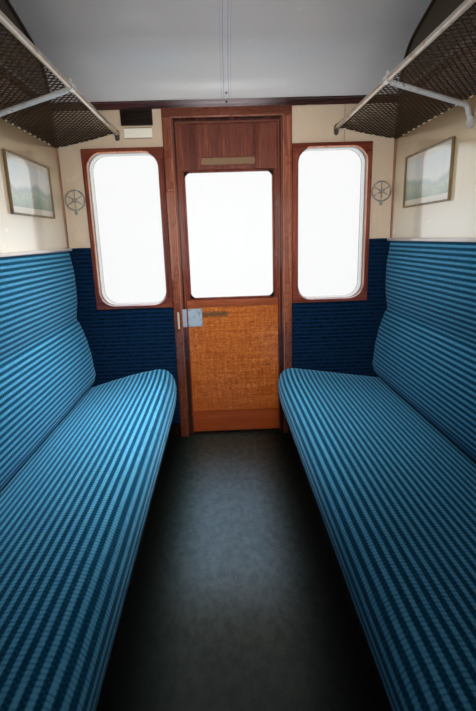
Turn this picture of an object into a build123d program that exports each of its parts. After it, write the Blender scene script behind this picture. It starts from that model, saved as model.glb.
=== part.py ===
"""One compartment of a vintage compartment carriage, modelled in millimetres.

The piece is a slice of the carriage body from one partition to the next: both
sides with their slam doors and quarterlights, the floor and underframe, the
arched ceiling and roof, two facing benches and two luggage racks.

X runs along the carriage, Y across it and Z up. The origin is in the middle of
the slice, on the ground plane of the underframe. The far side is at +Y and the
near side is the same side turned half a turn about Z.
"""
import os
from math import asin, copysign, cos, degrees, radians, sin, sqrt

from build123d import *

os.makedirs("parts", exist_ok=True)

# Levels of the floor and the underframe
SOLEBAR_HEIGHT = 230
BEARER_HEIGHT = 50
BOARD_THICKNESS = 45
LINO_THICKNESS = 5
DECK_TOP = SOLEBAR_HEIGHT + BEARER_HEIGHT + BOARD_THICKNESS
FLOOR = DECK_TOP + LINO_THICKNESS

# Plan of the compartment
HALF_LENGTH = 950
PARTITION_THICKNESS = 32
HALF_SLICE = HALF_LENGTH + PARTITION_THICKNESS
HALF_WIDTH = 1305
WALL_THICKNESS = 85
HALF_OUTSIDE = HALF_WIDTH + WALL_THICKNESS
WALL_FOOT = FLOOR - 80

# Outward curve of the lower body side
WAIST = FLOOR + 800
TUMBLEHOME = 38

# Ceiling and roof
CEILING_SPRING = FLOOR + 1980
CEILING_RISE = 420
CEILING_HAUNCH = 250
CEILING_SHEET = 8
RAIN_STRIP = 12
CORNICE_HEIGHT = 40
CORNICE_DEPTH = 22
CEILING_STRIPS = ((54, 2), (26, 5))
ARCH_BEAD = 8

# Doorway and door
DOORWAY_HALF = 309
DOORWAY_TOP = FLOOR + 1892
DOOR_GAP = 12
SILL_RISE = 5
LEAF_HALF = DOORWAY_HALF - DOOR_GAP
LEAF_TOP = DOORWAY_TOP - DOOR_GAP
LEAF_FOOT = FLOOR + 15
STOP_WIDTH = 28
STOP_DEPTH = 14
STOP_CLEARANCE = 6
LEAF_FACE = HALF_WIDTH + STOP_DEPTH + STOP_CLEARANCE
ARCHITRAVE_WIDTH = 49
ARCHITRAVE_DEPTH = 22
LINING_HALF = DOORWAY_HALF - STOP_WIDTH - STOP_CLEARANCE
PLY_THICKNESS = 6
KICK_TOP = FLOOR + 157
KICK_THICKNESS = 8
MID_RAIL_LOW = FLOOR + 837
MID_RAIL_DEPTH = 18
LINING_JOINT = 2
LABEL_SIZE = (304, 47, 3)
LABEL_CENTRE = FLOOR + 1666

# Droplight in the door
DROPLIGHT_HALF = 250
DROPLIGHT_LOW = FLOOR + 889
DROPLIGHT_TOP = FLOOR + 1610
DROPLIGHT_CORNER = 30
DROPLIGHT_FRAME = 12
DROPLIGHT_DEPTH = 22
DROPLIGHT_SET = 12
DROPLIGHT_GLASS = 5

# Quarterlights beside the door
FRAME_JOINT = 1.5
CORNER_MARGIN = 136.5
FRAME_INNER = DOORWAY_HALF + ARCHITRAVE_WIDTH + FRAME_JOINT
FRAME_OUTER = HALF_LENGTH - CORNER_MARGIN
LIGHT_MARGINS = (29.5, 27.5)
LIGHT_WIDTH = FRAME_OUTER - FRAME_INNER - sum(LIGHT_MARGINS)
LIGHT_HEIGHT = 857
LIGHT_CENTRE_X = FRAME_INNER + LIGHT_MARGINS[0] + LIGHT_WIDTH / 2
LIGHT_CENTRE_Z = FLOOR + 1293.5
LIGHT_CORNER = 85
LIGHT_LINING = 10
LIGHT_GLASS = 6
LIGHT_GLASS_SET = 30
FRAME_Z = (FLOOR + 845, FLOOR + 1745)
FRAME_DEPTH = 18
OUTER_FLANGE = 24
OUTER_FLANGE_DEPTH = 12
FIT = 0.3

# Wall trim and fittings
TRIM_TOP = FLOOR + 1210
TRIM_FOOT = FLOOR + 90
TRIM_THICKNESS = 14
BEAD = 10
VENT_X = (-DOORWAY_HALF - 271, -DOORWAY_HALF - 99)
VENT_Z = (FLOOR + 1858, FLOOR + 1938)
VENT_DEPTH = 14
VENT_LIP = 8
VENT_SLATS = 3
VENT_PLATE_X = (-DOORWAY_HALF - 259, -DOORWAY_HALF - 107)
VENT_PLATE_Z = (FLOOR + 1791, FLOOR + 1850)
VENT_PLATE_DEPTH = 5
ROSETTE_X = HALF_LENGTH - (CORNER_MARGIN + BEAD) / 2
ROSETTE_Z = FLOOR + 1476
ROSETTE_RADIUS = 0.46 * (CORNER_MARGIN - BEAD)
ROSETTE_RIM = 8
ROSETTE_ARM = 5
ROSETTE_ARMS = 6
ROSETTE_HUB = 11
ROSETTE_LUG = (14, 26, 5)

# Benches: how far each nose stands from its partition
BENCH_DEPTHS = {"left": 605, "right": 707}
BENCH_SIGNS = {"left": -1, "right": 1}
BENCH_END_GAP = 25
BENCH_CORNER = 55
SEAT_UNDERSIDE = FLOOR + 245
SEAT_BACK_FOOT = FLOOR + 366
SEAT_CROWN = FLOOR + 448
SHELF_LOW = FLOOR + 1194
SHELF_TOP = FLOOR + 1212
SHELF_DEPTH = 30
RISER_SETBACK = 88
REAR_GAP = 5

# Section of a cushion, measured back from its nose and from its crown or underside
CROWN_SETBACK = 85
SHOULDER = (24, 27)
NOSE_DROP = 98
TUCK = (10, 45)
UNDER_SETBACK = 40
REAR_FLAT = 62

# Section of a seat back: distance from the partition and level of each point
BACK_TOP = 24
BACK_UPPER = (45, FLOOR + 1010)
BACK_WAIST = (29, FLOOR + 800)
BACK_LUMBAR = (80, FLOOR + 640)
BACK_BELLY = (101, FLOOR + 480)
BACK_UNDER = (94, FLOOR + 415)
BACK_TOE = 57

# Luggage racks
RAIL_X = HALF_LENGTH - 342
RAIL_Z = FLOOR + 1820
RAIL_RADIUS = 11
BRACKET_FROM_WALL = 735
BRACKET_RADIUS = 10
BRACKET_KNEE = (HALF_LENGTH - 22, FLOOR + 1722)
BRACKET_BEND = 24
BRACKET_FOOT_Z = FLOOR + 1659
NET_BACK_Z = FLOOR + 1753
NET_THICKNESS = 4
NET_SAG = 4
COLLAR_RADIUS = 16
COLLAR_LENGTH = 34
FLANGE_DEPTH = 6
RAIL_FOOT = (58, 26)
RAIL_FOOT_DROP = 9

# Pictures over the seat backs
PICTURE_SIZE = (465, 260)
PICTURE_CENTRE_Z = FLOOR + 1500
PICTURE_FROM_WALL = 398
PICTURE_BORDER = 8
PICTURE_DEPTH = 14
PICTURE_PANEL = 5

# Underframe
SOLEBAR_OUT = 1165
SOLEBAR_WEB = 10
SOLEBAR_FLANGE = 76
FLANGE_THICKNESS = 12
MOUNT_HOLE_RADIUS = 11
MOUNT_X = 750
BEARER_XS = (-850, -283, 283, 850)
BEARER_WIDTH = 70
CROSS_XS = (-640, 0, 640)
FOOTBOARD = (230, 32)
FOOTBOARD_GAP = 15
FOOTBOARD_OUT = SOLEBAR_OUT + FOOTBOARD_GAP + FOOTBOARD[0]
FOOTBOARD_LOW = 50
FOOT_BRACKET_XS = (-700, 0, 700)

# Door hinges
HINGE_STANDOFF = 12
HINGE_X = LEAF_HALF + DOOR_GAP / 2
HINGE_Y = HALF_OUTSIDE + HINGE_STANDOFF
HINGE_ZS = (FLOOR + 330, FLOOR + 845, FLOOR + 1700)
KNUCKLE_RADIUS = 10.5
KNUCKLE_HEIGHT = 34
KNUCKLE_GAP = 1
PIN_RADIUS = 6
PIN_CLEARANCE = 0.5
STRAP_GAP = 16
BODY_STRAP = LIGHT_CENTRE_X - LIGHT_WIDTH / 2 - OUTER_FLANGE - STRAP_GAP - HINGE_X
STRAP_LENGTHS = {-1: 90, 1: BODY_STRAP}
STRAP_THICKNESS = 5

# The two sides: the near one is the far one turned half a turn about Z
SIDES = {"far": 1, "near": -1}


def outside_at(z):
    """Distance of the outer skin from the middle of the carriage at a level."""
    if z >= WAIST:
        return HALF_OUTSIDE
    drop = WAIST - WALL_FOOT
    radius = (drop**2 + TUMBLEHOME**2) / (2 * TUMBLEHOME)
    return HALF_OUTSIDE - radius + sqrt(radius**2 - (WAIST - z) ** 2)


def wall_plane(side, distance):
    """Plane on a side wall: local x runs along it, local y up, normal into the room."""
    return Plane(origin=(0, side * distance, 0), x_dir=(side, 0, 0), z_dir=(0, -side, 0))


def partition_plane(end, distance):
    """Plane on a partition: local y runs up and the normal points into the room."""
    return Plane(origin=(end * distance, 0, 0), x_dir=(0, -end, 0), z_dir=(-end, 0, 0))


def side_section(side, inner, low, top):
    """Face across a body side between two levels, with its curved outer skin."""
    with BuildLine() as outline:
        start = (side * inner, low)
        shoulder = (side * outside_at(min(top, WAIST)), max(low, min(top, WAIST)))
        Line(start, (side * outside_at(low), low))
        if low < WAIST:
            half = (low + shoulder[1]) / 2
            ThreePointArc((side * outside_at(low), low), (side * outside_at(half), half), shoulder)
        if top > WAIST:
            Line(shoulder, (side * HALF_OUTSIDE, top))
        Line((side * outside_at(top), top), (side * inner, top))
        Line((side * inner, top), start)
    make_face(outline.edges())


def window_outline(grow):
    """Rounded outlines of the two quarterlights of a side, grown by a margin."""
    with Locations((-LIGHT_CENTRE_X, LIGHT_CENTRE_Z), (LIGHT_CENTRE_X, LIGHT_CENTRE_Z)):
        RectangleRounded(LIGHT_WIDTH + 2 * grow, LIGHT_HEIGHT + 2 * grow, LIGHT_CORNER + grow)


def span(low, high):
    """Centre and length of a stretch."""
    return (low + high) / 2, high - low


# The ceiling is a three-centred arch: a flat crown between two rounder haunches
HAUNCH_OUT = HALF_WIDTH - CEILING_SHEET - CEILING_HAUNCH
CROWN_SPAN = HAUNCH_OUT**2 + CEILING_RISE**2 - CEILING_HAUNCH**2
CROWN_RADIUS = CROWN_SPAN / (2 * (CEILING_RISE - CEILING_HAUNCH))
CROWN_CENTRE = CEILING_SPRING + CEILING_RISE - CROWN_RADIUS
HAUNCH_ANGLE = degrees(asin(HAUNCH_OUT / (CROWN_RADIUS - CEILING_HAUNCH)))
SPRING_ANGLE = 90
ROOF_OFFSET = CEILING_SHEET + WALL_THICKNESS


def crown_height(y, offset):
    """Height of the arch's crown, or of its offset, at a distance from the middle."""
    return CROWN_CENTRE + sqrt((CROWN_RADIUS + offset) ** 2 - y**2)


def arch_point(angle, offset):
    """Point of the arch, or of its offset, at an angle in degrees from the crown."""
    turn = radians(abs(angle))
    if abs(angle) <= HAUNCH_ANGLE:
        y = (CROWN_RADIUS + offset) * sin(turn)
        z = CROWN_CENTRE + (CROWN_RADIUS + offset) * cos(turn)
    else:
        y = HAUNCH_OUT + (CEILING_HAUNCH + offset) * sin(turn)
        z = CEILING_SPRING + (CEILING_HAUNCH + offset) * cos(turn)
    return copysign(y, angle), z


def arch_edge(offset, low, high):
    """Arcs of the arch, or of its offset, from one angle to another."""
    joints = [angle for angle in (-HAUNCH_ANGLE, HAUNCH_ANGLE) if low < angle < high]
    for first, last in zip([low] + joints, joints + [high]):
        half = (first + last) / 2
        ThreePointArc(arch_point(first, offset), arch_point(half, offset), arch_point(last, offset))


def arched_sheet(inner, outer, low=-SPRING_ANGLE, high=SPRING_ANGLE):
    """Face between two offsets of the arch, from one angle to another."""
    with BuildLine() as outline:
        arch_edge(inner, low, high)
        Line(arch_point(high, inner), arch_point(high, outer))
        arch_edge(outer, low, high)
        Line(arch_point(low, outer), arch_point(low, inner))
    make_face(outline.edges())


nodes = {}


def keep(name, part):
    """Label a finished piece and write its file."""
    part.label = name
    nodes[name] = part
    export_step(part, f"parts/{name}.step")


# Underframe: two channel solebars joined by cross bearers
with BuildPart() as solebars:
    for side in SIDES.values():
        with BuildSketch(Plane.YZ):
            web_centre = side * (SOLEBAR_OUT - SOLEBAR_WEB / 2)
            flange_centre = side * (SOLEBAR_OUT - SOLEBAR_FLANGE / 2)
            with Locations((web_centre, SOLEBAR_HEIGHT / 2)):
                Rectangle(SOLEBAR_WEB, SOLEBAR_HEIGHT)
            with Locations(
                (flange_centre, FLANGE_THICKNESS / 2),
                (flange_centre, SOLEBAR_HEIGHT - FLANGE_THICKNESS / 2),
            ):
                Rectangle(SOLEBAR_FLANGE, FLANGE_THICKNESS)
        extrude(amount=HALF_SLICE, both=True)
    MOUNT_Y = SOLEBAR_OUT - (SOLEBAR_FLANGE + SOLEBAR_WEB) / 2
    with BuildSketch(Plane.XY):
        with GridLocations(2 * MOUNT_X, 2 * MOUNT_Y, 2, 2):
            Circle(MOUNT_HOLE_RADIUS)
    extrude(amount=FLANGE_THICKNESS, mode=Mode.SUBTRACT)
keep("solebars", solebars.part)

CROSS_WIDTH = 80
CROSS_LOW = 68
with BuildPart() as cross_bearers:
    for x in CROSS_XS:
        cross_top = SOLEBAR_HEIGHT - FLANGE_THICKNESS
        middle, height = span(CROSS_LOW, cross_top)
        with BuildSketch(Plane.XZ):
            with Locations((x, middle)):
                Rectangle(SOLEBAR_WEB, height)
            with Locations((x, CROSS_LOW + SOLEBAR_WEB / 2), (x, cross_top - SOLEBAR_WEB / 2)):
                Rectangle(CROSS_WIDTH, SOLEBAR_WEB)
        extrude(amount=SOLEBAR_OUT - SOLEBAR_WEB, both=True)
keep("cross_bearers", cross_bearers.part)

# Step boards hung outside the solebars
with BuildPart() as footboards:
    for side in SIDES.values():
        with BuildSketch(Plane.YZ):
            with Locations((side * (FOOTBOARD_OUT - FOOTBOARD[0] / 2), FOOTBOARD_LOW + FOOTBOARD[1] / 2)):
                RectangleRounded(*FOOTBOARD, 6)
        extrude(amount=HALF_SLICE, both=True)
keep("footboards", footboards.part)

BRACKET_PLATE = 8
BRACKET_WIDTH = 60
BRACKET_TOP = SOLEBAR_HEIGHT - 30
BRACKET_OUT = FOOTBOARD_OUT - 20
with BuildPart() as footboard_brackets:
    for side in SIDES.values():
        for x in FOOT_BRACKET_XS:
            wall = SOLEBAR_OUT
            arm_low = FOOTBOARD_LOW - BRACKET_PLATE
            with BuildSketch(Plane.YZ.offset(x)):
                with BuildLine():
                    Polyline(
                        (side * wall, BRACKET_TOP),
                        (side * wall, arm_low),
                        (side * BRACKET_OUT, arm_low),
                        (side * BRACKET_OUT, FOOTBOARD_LOW),
                        (side * (wall + BRACKET_PLATE), FOOTBOARD_LOW),
                        (side * (wall + BRACKET_PLATE), BRACKET_TOP),
                        close=True,
                    )
                make_face()
            extrude(amount=BRACKET_WIDTH / 2, both=True)
keep("footboard_brackets", footboard_brackets.part)

# Floor: cross timbers and boards as one deck, covered with lino
with BuildPart() as floor_deck:
    middle, height = span(SOLEBAR_HEIGHT + BEARER_HEIGHT, DECK_TOP)
    with Locations((0, 0, middle)):
        Box(2 * HALF_SLICE, 2 * HALF_WIDTH, height)
    for x in BEARER_XS:
        with Locations((x, 0, SOLEBAR_HEIGHT + BEARER_HEIGHT / 2)):
            Box(BEARER_WIDTH, 2 * (HALF_WIDTH - REAR_GAP), BEARER_HEIGHT)
keep("floor_deck", floor_deck.part)

with BuildPart() as floor_lino:
    with Locations((0, 0, DECK_TOP + LINO_THICKNESS / 2)):
        Box(2 * HALF_LENGTH, 2 * HALF_WIDTH, LINO_THICKNESS)
keep("floor_lino", floor_lino.part)

# Body sides: a quarter panel each side of the doorway, with its window cut
for name, side in SIDES.items():
    with BuildPart() as quarters:
        for start in (-HALF_SLICE, DOORWAY_HALF):
            with BuildSketch(Plane.YZ.offset(start)):
                side_section(side, HALF_WIDTH, WALL_FOOT, DOORWAY_TOP)
            extrude(amount=HALF_SLICE - DOORWAY_HALF)
        with BuildSketch(wall_plane(side, HALF_WIDTH)):
            window_outline(LIGHT_LINING)
        extrude(amount=-2 * WALL_THICKNESS, mode=Mode.SUBTRACT)
    keep(f"{name}_side_quarters", quarters.part)

RAIN_STRIP_DROP = 25
with BuildPart() as cantrails:
    for side in SIDES.values():
        with BuildSketch(Plane.YZ):
            side_section(side, HALF_WIDTH, DOORWAY_TOP, CEILING_SPRING)
            with Locations((side * (HALF_OUTSIDE + RAIN_STRIP / 2), CEILING_SPRING - RAIN_STRIP_DROP)):
                Rectangle(RAIN_STRIP, RAIN_STRIP)
        extrude(amount=HALF_SLICE, both=True)
keep("cantrails", cantrails.part)

with BuildPart() as door_sills:
    for side in SIDES.values():
        with BuildSketch(Plane.YZ):
            side_section(side, HALF_WIDTH, WALL_FOOT, FLOOR + SILL_RISE)
        extrude(amount=DOORWAY_HALF, both=True)
keep("door_sills", door_sills.part)

# Partitions rise to the underside of the roof
with BuildPart() as partitions:
    for end in (-1, 1):
        with BuildSketch(Plane.YZ.offset(end * (HALF_LENGTH + PARTITION_THICKNESS / 2))):
            with BuildLine() as outline:
                left = arch_point(-SPRING_ANGLE, CEILING_SHEET)
                right = arch_point(SPRING_ANGLE, CEILING_SHEET)
                Polyline(left, (left[0], DECK_TOP), (right[0], DECK_TOP), right)
                arch_edge(CEILING_SHEET, -SPRING_ANGLE, SPRING_ANGLE)
            make_face(outline.edges())
        extrude(amount=PARTITION_THICKNESS / 2, both=True)
keep("partitions", partitions.part)

# Roof: an arched shell whose underside carries the ceiling sheet
with BuildPart() as roof:
    with BuildSketch(Plane.YZ):
        arched_sheet(CEILING_SHEET, ROOF_OFFSET)
    extrude(amount=HALF_SLICE, both=True)
keep("roof", roof.part)

with BuildPart() as ceiling_panel:
    with BuildSketch(Plane.YZ):
        arched_sheet(0, CEILING_SHEET)
    extrude(amount=HALF_LENGTH, both=True)
keep("ceiling_panel", ceiling_panel.part)

# Lamp in the middle of the ceiling, and the cover strip that runs out from it
LAMP_BASE = (85, 18)
LAMP_BOWL = ((66, 58, 26), (58, 30, 16))
with BuildPart() as ceiling_strip:
    for side in SIDES.values():
        lamp_angle = degrees(asin((LAMP_BASE[0] + 1) / CROWN_RADIUS))
        ends = sorted((side * lamp_angle, side * SPRING_ANGLE))
        for strip_width, strip_depth in CEILING_STRIPS:
            with BuildSketch(Plane.YZ):
                arched_sheet(-strip_depth, 0, *ends)
            extrude(amount=strip_width / 2, both=True)
keep("ceiling_strip", ceiling_strip.part)

with BuildPart() as ceiling_lamp:
    level = crown_height(LAMP_BASE[0], 0)
    with BuildSketch(Plane.XY.offset(level)):
        Circle(LAMP_BASE[0])
    extrude(amount=-LAMP_BASE[1])
    chamfer(ceiling_lamp.edges().sort_by(Axis.Z)[0], LAMP_BASE[1] / 3)
    level -= LAMP_BASE[1]
    for wide, narrow, depth in LAMP_BOWL:
        with Locations((0, 0, level - depth / 2)):
            Cone(narrow, wide, depth)
        level -= depth
keep("ceiling_lamp", ceiling_lamp.part)

# Two torpedo ventilators stand on the roof
VENT_YS = (-450, 450)
VENT_NECK = (45, 60)
VENT_SUNK = 20
VENT_BARREL = (58, 190)
VENT_CONE = (34, 55)
with BuildPart() as roof_ventilators:
    for y in VENT_YS:
        roof_top = crown_height(y, ROOF_OFFSET)
        barrel = roof_top + VENT_NECK[1]
        with BuildSketch(Plane.XY.offset(roof_top - VENT_SUNK)):
            with Locations((0, y)):
                Circle(VENT_NECK[0])
        extrude(amount=VENT_NECK[1] + VENT_SUNK)
        with Locations((0, y, barrel)):
            Cylinder(*VENT_BARREL, rotation=(0, 90, 0))
        for way in (-1, 1):
            with Locations((way * (VENT_BARREL[1] + VENT_CONE[1]) / 2, y, barrel)):
                Cone(VENT_BARREL[0], *VENT_CONE, rotation=(0, way * 90, 0))
    add(roof.part, mode=Mode.SUBTRACT)
keep("roof_ventilators", roof_ventilators.part)


# Cornices all round, under the spring of the ceiling
def cornice_profile():
    """Moulding section: flat back, rounded nose and a cove under it."""
    low, top = CEILING_SPRING - CORNICE_HEIGHT, CEILING_SPRING
    cove = (CORNICE_DEPTH * 0.55, low + 9)
    lip = (CORNICE_DEPTH * 0.7, top - 6)
    with BuildLine() as outline:
        Polyline((0, top), (0, low), (CORNICE_DEPTH * 0.4, low), cove)
        ThreePointArc(cove, (CORNICE_DEPTH, low + 22), lip)
        Polyline(lip, (lip[0], top), (0, top))
    make_face(outline.edges())


with BuildPart() as cornices:
    for side in SIDES.values():
        with BuildSketch(Plane(origin=(0, side * HALF_WIDTH, 0), x_dir=(0, -side, 0), z_dir=(-side, 0, 0))):
            cornice_profile()
        extrude(amount=HALF_LENGTH, both=True)
    for end in (-1, 1):
        with BuildSketch(Plane(origin=(end * HALF_LENGTH, 0, 0), x_dir=(-end, 0, 0), z_dir=(0, end, 0))):
            cornice_profile()
        extrude(amount=HALF_WIDTH, both=True)
keep("cornices", cornices.part)

with BuildPart() as corner_beads:
    bead_low, bead_top = SHELF_TOP, CEILING_SPRING - CORNICE_HEIGHT
    with BuildSketch(Plane.XY.offset(bead_low)):
        for x in (-1, 1):
            for y in (-1, 1):
                corner = (x * HALF_LENGTH, y * HALF_WIDTH)
                with BuildLine():
                    Line(corner, (corner[0] - x * BEAD, corner[1]))
                    ThreePointArc(
                        (corner[0] - x * BEAD, corner[1]),
                        (corner[0] - x * BEAD * 0.7, corner[1] - y * BEAD * 0.7),
                        (corner[0], corner[1] - y * BEAD),
                    )
                    Line((corner[0], corner[1] - y * BEAD), corner)
                make_face()
    extrude(amount=bead_top - bead_low)
    for end in (-1, 1):
        with BuildSketch(Plane.YZ.offset(end * HALF_LENGTH)):
            arched_sheet(-ARCH_BEAD, 0)
        extrude(amount=-end * ARCH_BEAD)
keep("corner_beads", corner_beads.part)

# Doorway: architrave round it and the stop beads that the door shuts against
with BuildPart() as door_architraves:
    for side in SIDES.values():
        with BuildSketch(wall_plane(side, HALF_WIDTH)):
            head_top = CEILING_SPRING - CORNICE_HEIGHT
            middle, height = span(FLOOR, head_top)
            with Locations((0, middle)):
                Rectangle(2 * (DOORWAY_HALF + ARCHITRAVE_WIDTH), height)
            middle, height = span(FLOOR, DOORWAY_TOP)
            with Locations((0, middle)):
                Rectangle(2 * DOORWAY_HALF, height, mode=Mode.SUBTRACT)
        extrude(amount=ARCHITRAVE_DEPTH)
    front = door_architraves.faces().filter_by(Axis.Y).group_by(SortBy.AREA)[-1]
    chamfer(front.edges().filter_by(Axis.Z), 4)
keep("door_architraves", door_architraves.part)

with BuildPart() as door_stops:
    for side in SIDES.values():
        with BuildSketch(wall_plane(side, HALF_WIDTH)):
            foot = FLOOR + SILL_RISE
            middle, height = span(foot, DOORWAY_TOP)
            with Locations((0, middle)):
                Rectangle(2 * DOORWAY_HALF, height)
            middle, height = span(foot, DOORWAY_TOP - STOP_WIDTH)
            with Locations((0, middle)):
                Rectangle(2 * (DOORWAY_HALF - STOP_WIDTH), height, mode=Mode.SUBTRACT)
        extrude(amount=-STOP_DEPTH)
keep("door_stops", door_stops.part)

# Quarterlights: room frame with its lining, glass and outside frame
with BuildPart() as quarterlight_frames:
    for side in SIDES.values():
        with BuildSketch(wall_plane(side, HALF_WIDTH)):
            x_middle, width = span(FRAME_INNER, FRAME_OUTER)
            z_middle, height = span(*FRAME_Z)
            with Locations((-x_middle, z_middle), (x_middle, z_middle)):
                Rectangle(width, height)
        extrude(amount=FRAME_DEPTH)
        with BuildSketch(wall_plane(side, HALF_WIDTH)):
            window_outline(LIGHT_LINING - FIT)
        extrude(amount=-LIGHT_GLASS_SET)
        with BuildSketch(wall_plane(side, HALF_WIDTH - FRAME_DEPTH)):
            window_outline(0)
        extrude(amount=-FRAME_DEPTH - LIGHT_GLASS_SET, mode=Mode.SUBTRACT)
keep("quarterlight_frames", quarterlight_frames.part)

with BuildPart() as quarterlight_glass:
    for side in SIDES.values():
        with BuildSketch(wall_plane(side, HALF_WIDTH + LIGHT_GLASS_SET)):
            window_outline(LIGHT_LINING - FIT)
        extrude(amount=-LIGHT_GLASS)
keep("quarterlight_glass", quarterlight_glass.part)

with BuildPart() as quarterlight_outer_frames:
    for side in SIDES.values():
        with BuildSketch(wall_plane(side, HALF_WIDTH + LIGHT_GLASS_SET + LIGHT_GLASS)):
            window_outline(LIGHT_LINING - FIT)
        extrude(amount=-(WALL_THICKNESS - LIGHT_GLASS_SET - LIGHT_GLASS))
        with BuildSketch(wall_plane(side, HALF_OUTSIDE)):
            window_outline(OUTER_FLANGE)
        extrude(amount=-OUTER_FLANGE_DEPTH)
        with BuildSketch(wall_plane(side, HALF_OUTSIDE + OUTER_FLANGE_DEPTH)):
            window_outline(0)
        extrude(amount=WALL_THICKNESS, mode=Mode.SUBTRACT)
keep("quarterlight_outer_frames", quarterlight_outer_frames.part)

# Padded trim under and beside the quarterlights
TRIM_GAP = 1
with BuildPart() as side_trim_pads:
    for side in SIDES.values():
        with BuildSketch(wall_plane(side, HALF_WIDTH)):
            inner = DOORWAY_HALF + ARCHITRAVE_WIDTH + TRIM_GAP
            x_middle, width = span(inner, HALF_LENGTH - TRIM_GAP)
            z_middle, height = span(TRIM_FOOT, TRIM_TOP)
            with Locations((-x_middle, z_middle), (x_middle, z_middle)):
                Rectangle(width, height)
            x_middle, width = span(inner - TRIM_GAP, FRAME_OUTER + TRIM_GAP)
            z_middle, height = span(FRAME_Z[0] - TRIM_GAP, FRAME_Z[1])
            with Locations((-x_middle, z_middle), (x_middle, z_middle)):
                Rectangle(width, height, mode=Mode.SUBTRACT)
        extrude(amount=TRIM_THICKNESS)
keep("side_trim_pads", side_trim_pads.part)

# Ventilator slot by the doorway, its blank plate, and the hood outside
VENT_HOOD = (190, 70, 34)
VENT_HOOD_DROP = 20
VENT_BACK = 2
VENT_SLAT = 4
with BuildPart() as wall_vents:
    for side in SIDES.values():
        x_middle, width = span(*VENT_X)
        z_middle, height = span(*VENT_Z)
        with BuildSketch(wall_plane(side, HALF_WIDTH)):
            with Locations((x_middle, z_middle)):
                Rectangle(width, height)
                Rectangle(width - 2 * VENT_LIP, height - 2 * VENT_LIP, mode=Mode.SUBTRACT)
        extrude(amount=VENT_DEPTH)
        with BuildSketch(wall_plane(side, HALF_WIDTH)):
            with Locations((x_middle, z_middle)):
                Rectangle(width, height)
        extrude(amount=VENT_BACK)
        with BuildSketch(wall_plane(side, HALF_WIDTH)):
            with Locations((x_middle, z_middle)):
                with GridLocations(0, (height - 2 * VENT_LIP) / (VENT_SLATS + 1), 1, VENT_SLATS):
                    Rectangle(width - VENT_LIP, VENT_SLAT)
        extrude(amount=VENT_DEPTH - VENT_SLAT)
        x_middle, width = span(*VENT_PLATE_X)
        z_middle, height = span(*VENT_PLATE_Z)
        with BuildSketch(wall_plane(side, HALF_WIDTH)):
            with Locations((x_middle, z_middle)):
                RectangleRounded(width, height, 4)
        extrude(amount=VENT_PLATE_DEPTH)
        with BuildSketch(wall_plane(side, HALF_OUTSIDE)):
            with Locations((sum(VENT_X) / 2, DOORWAY_TOP - VENT_HOOD_DROP)):
                RectangleRounded(VENT_HOOD[0], VENT_HOOD[1], 8)
        extrude(amount=-VENT_HOOD[2], taper=25)
keep("wall_vents", wall_vents.part)

ROSETTE_DEPTH = 8
ROSETTE_KNOB = 20
with BuildPart() as corner_rosettes:
    for side in SIDES.values():
        for x in (-ROSETTE_X, ROSETTE_X):
            with BuildSketch(wall_plane(side, HALF_WIDTH)):
                with Locations((x, ROSETTE_Z)):
                    Circle(ROSETTE_RADIUS)
                    Circle(ROSETTE_RADIUS - ROSETTE_RIM, mode=Mode.SUBTRACT)
                    with PolarLocations(0, ROSETTE_ARMS, start_angle=-90):
                        with Locations((ROSETTE_RADIUS / 2, 0)):
                            Rectangle(ROSETTE_RADIUS, ROSETTE_ARM)
                with Locations((x, ROSETTE_Z - ROSETTE_RADIUS - ROSETTE_RIM)):
                    RectangleRounded(*ROSETTE_LUG)
            extrude(amount=ROSETTE_DEPTH)
            with BuildSketch(wall_plane(side, HALF_WIDTH)):
                with Locations((x, ROSETTE_Z)):
                    Circle(ROSETTE_HUB)
            extrude(amount=ROSETTE_KNOB)
keep("corner_rosettes", corner_rosettes.part)

# Benches
SEAT_HALF = HALF_WIDTH - BENCH_END_GAP
for name, end in BENCH_SIGNS.items():
    nose = HALF_LENGTH - BENCH_DEPTHS[name]

    with BuildPart() as cushion:
        with BuildSketch(Plane.XZ):
            with BuildLine():
                seat_back = (end * (HALF_LENGTH - REAR_GAP), SEAT_BACK_FOOT)
                crown = (end * (nose + CROWN_SETBACK), SEAT_CROWN)
                front = (end * nose, SEAT_CROWN - NOSE_DROP)
                under = (end * (nose + UNDER_SETBACK), SEAT_UNDERSIDE)
                Polyline(crown, (end * (HALF_LENGTH - REAR_FLAT), SEAT_BACK_FOOT), seat_back)
                Polyline(seat_back, (seat_back[0], SEAT_UNDERSIDE), under)
                ThreePointArc(under, (end * (nose + TUCK[0]), SEAT_UNDERSIDE + TUCK[1]), front)
                ThreePointArc(front, (end * (nose + SHOULDER[0]), SEAT_CROWN - SHOULDER[1]), crown)
            make_face()
        extrude(amount=SEAT_HALF, both=True)
        with BuildSketch(Plane.XY.offset(FLOOR)):
            x_middle, width = span(nose, 2 * HALF_LENGTH)
            with Locations((end * x_middle, 0)):
                RectangleRounded(width, 2 * SEAT_HALF, BENCH_CORNER)
        extrude(amount=SEAT_CROWN, mode=Mode.INTERSECT)
    keep(f"{name}_seat_cushion", cushion.part)

    with BuildPart() as back:
        with BuildSketch(Plane.XZ):
            with BuildLine():
                wall = end * (HALF_LENGTH - FIT)
                top = SHELF_LOW - FIT
                foot = SEAT_BACK_FOOT + FIT
                section = (BACK_UPPER, BACK_WAIST, BACK_LUMBAR, BACK_BELLY, BACK_UNDER)
                upper, waist, lumbar, belly, under = [(end * (HALF_LENGTH - x), z) for x, z in section]
                head = (end * (HALF_LENGTH - BACK_TOP), top)
                toe = (end * (HALF_LENGTH - BACK_TOE), foot)
                Polyline(toe, (wall, foot), (wall, top), head)
                ThreePointArc(head, upper, waist)
                ThreePointArc(waist, lumbar, belly)
                ThreePointArc(belly, under, toe)
            make_face()
        extrude(amount=SEAT_HALF, both=True)
    keep(f"{name}_seat_back", back.part)

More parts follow.
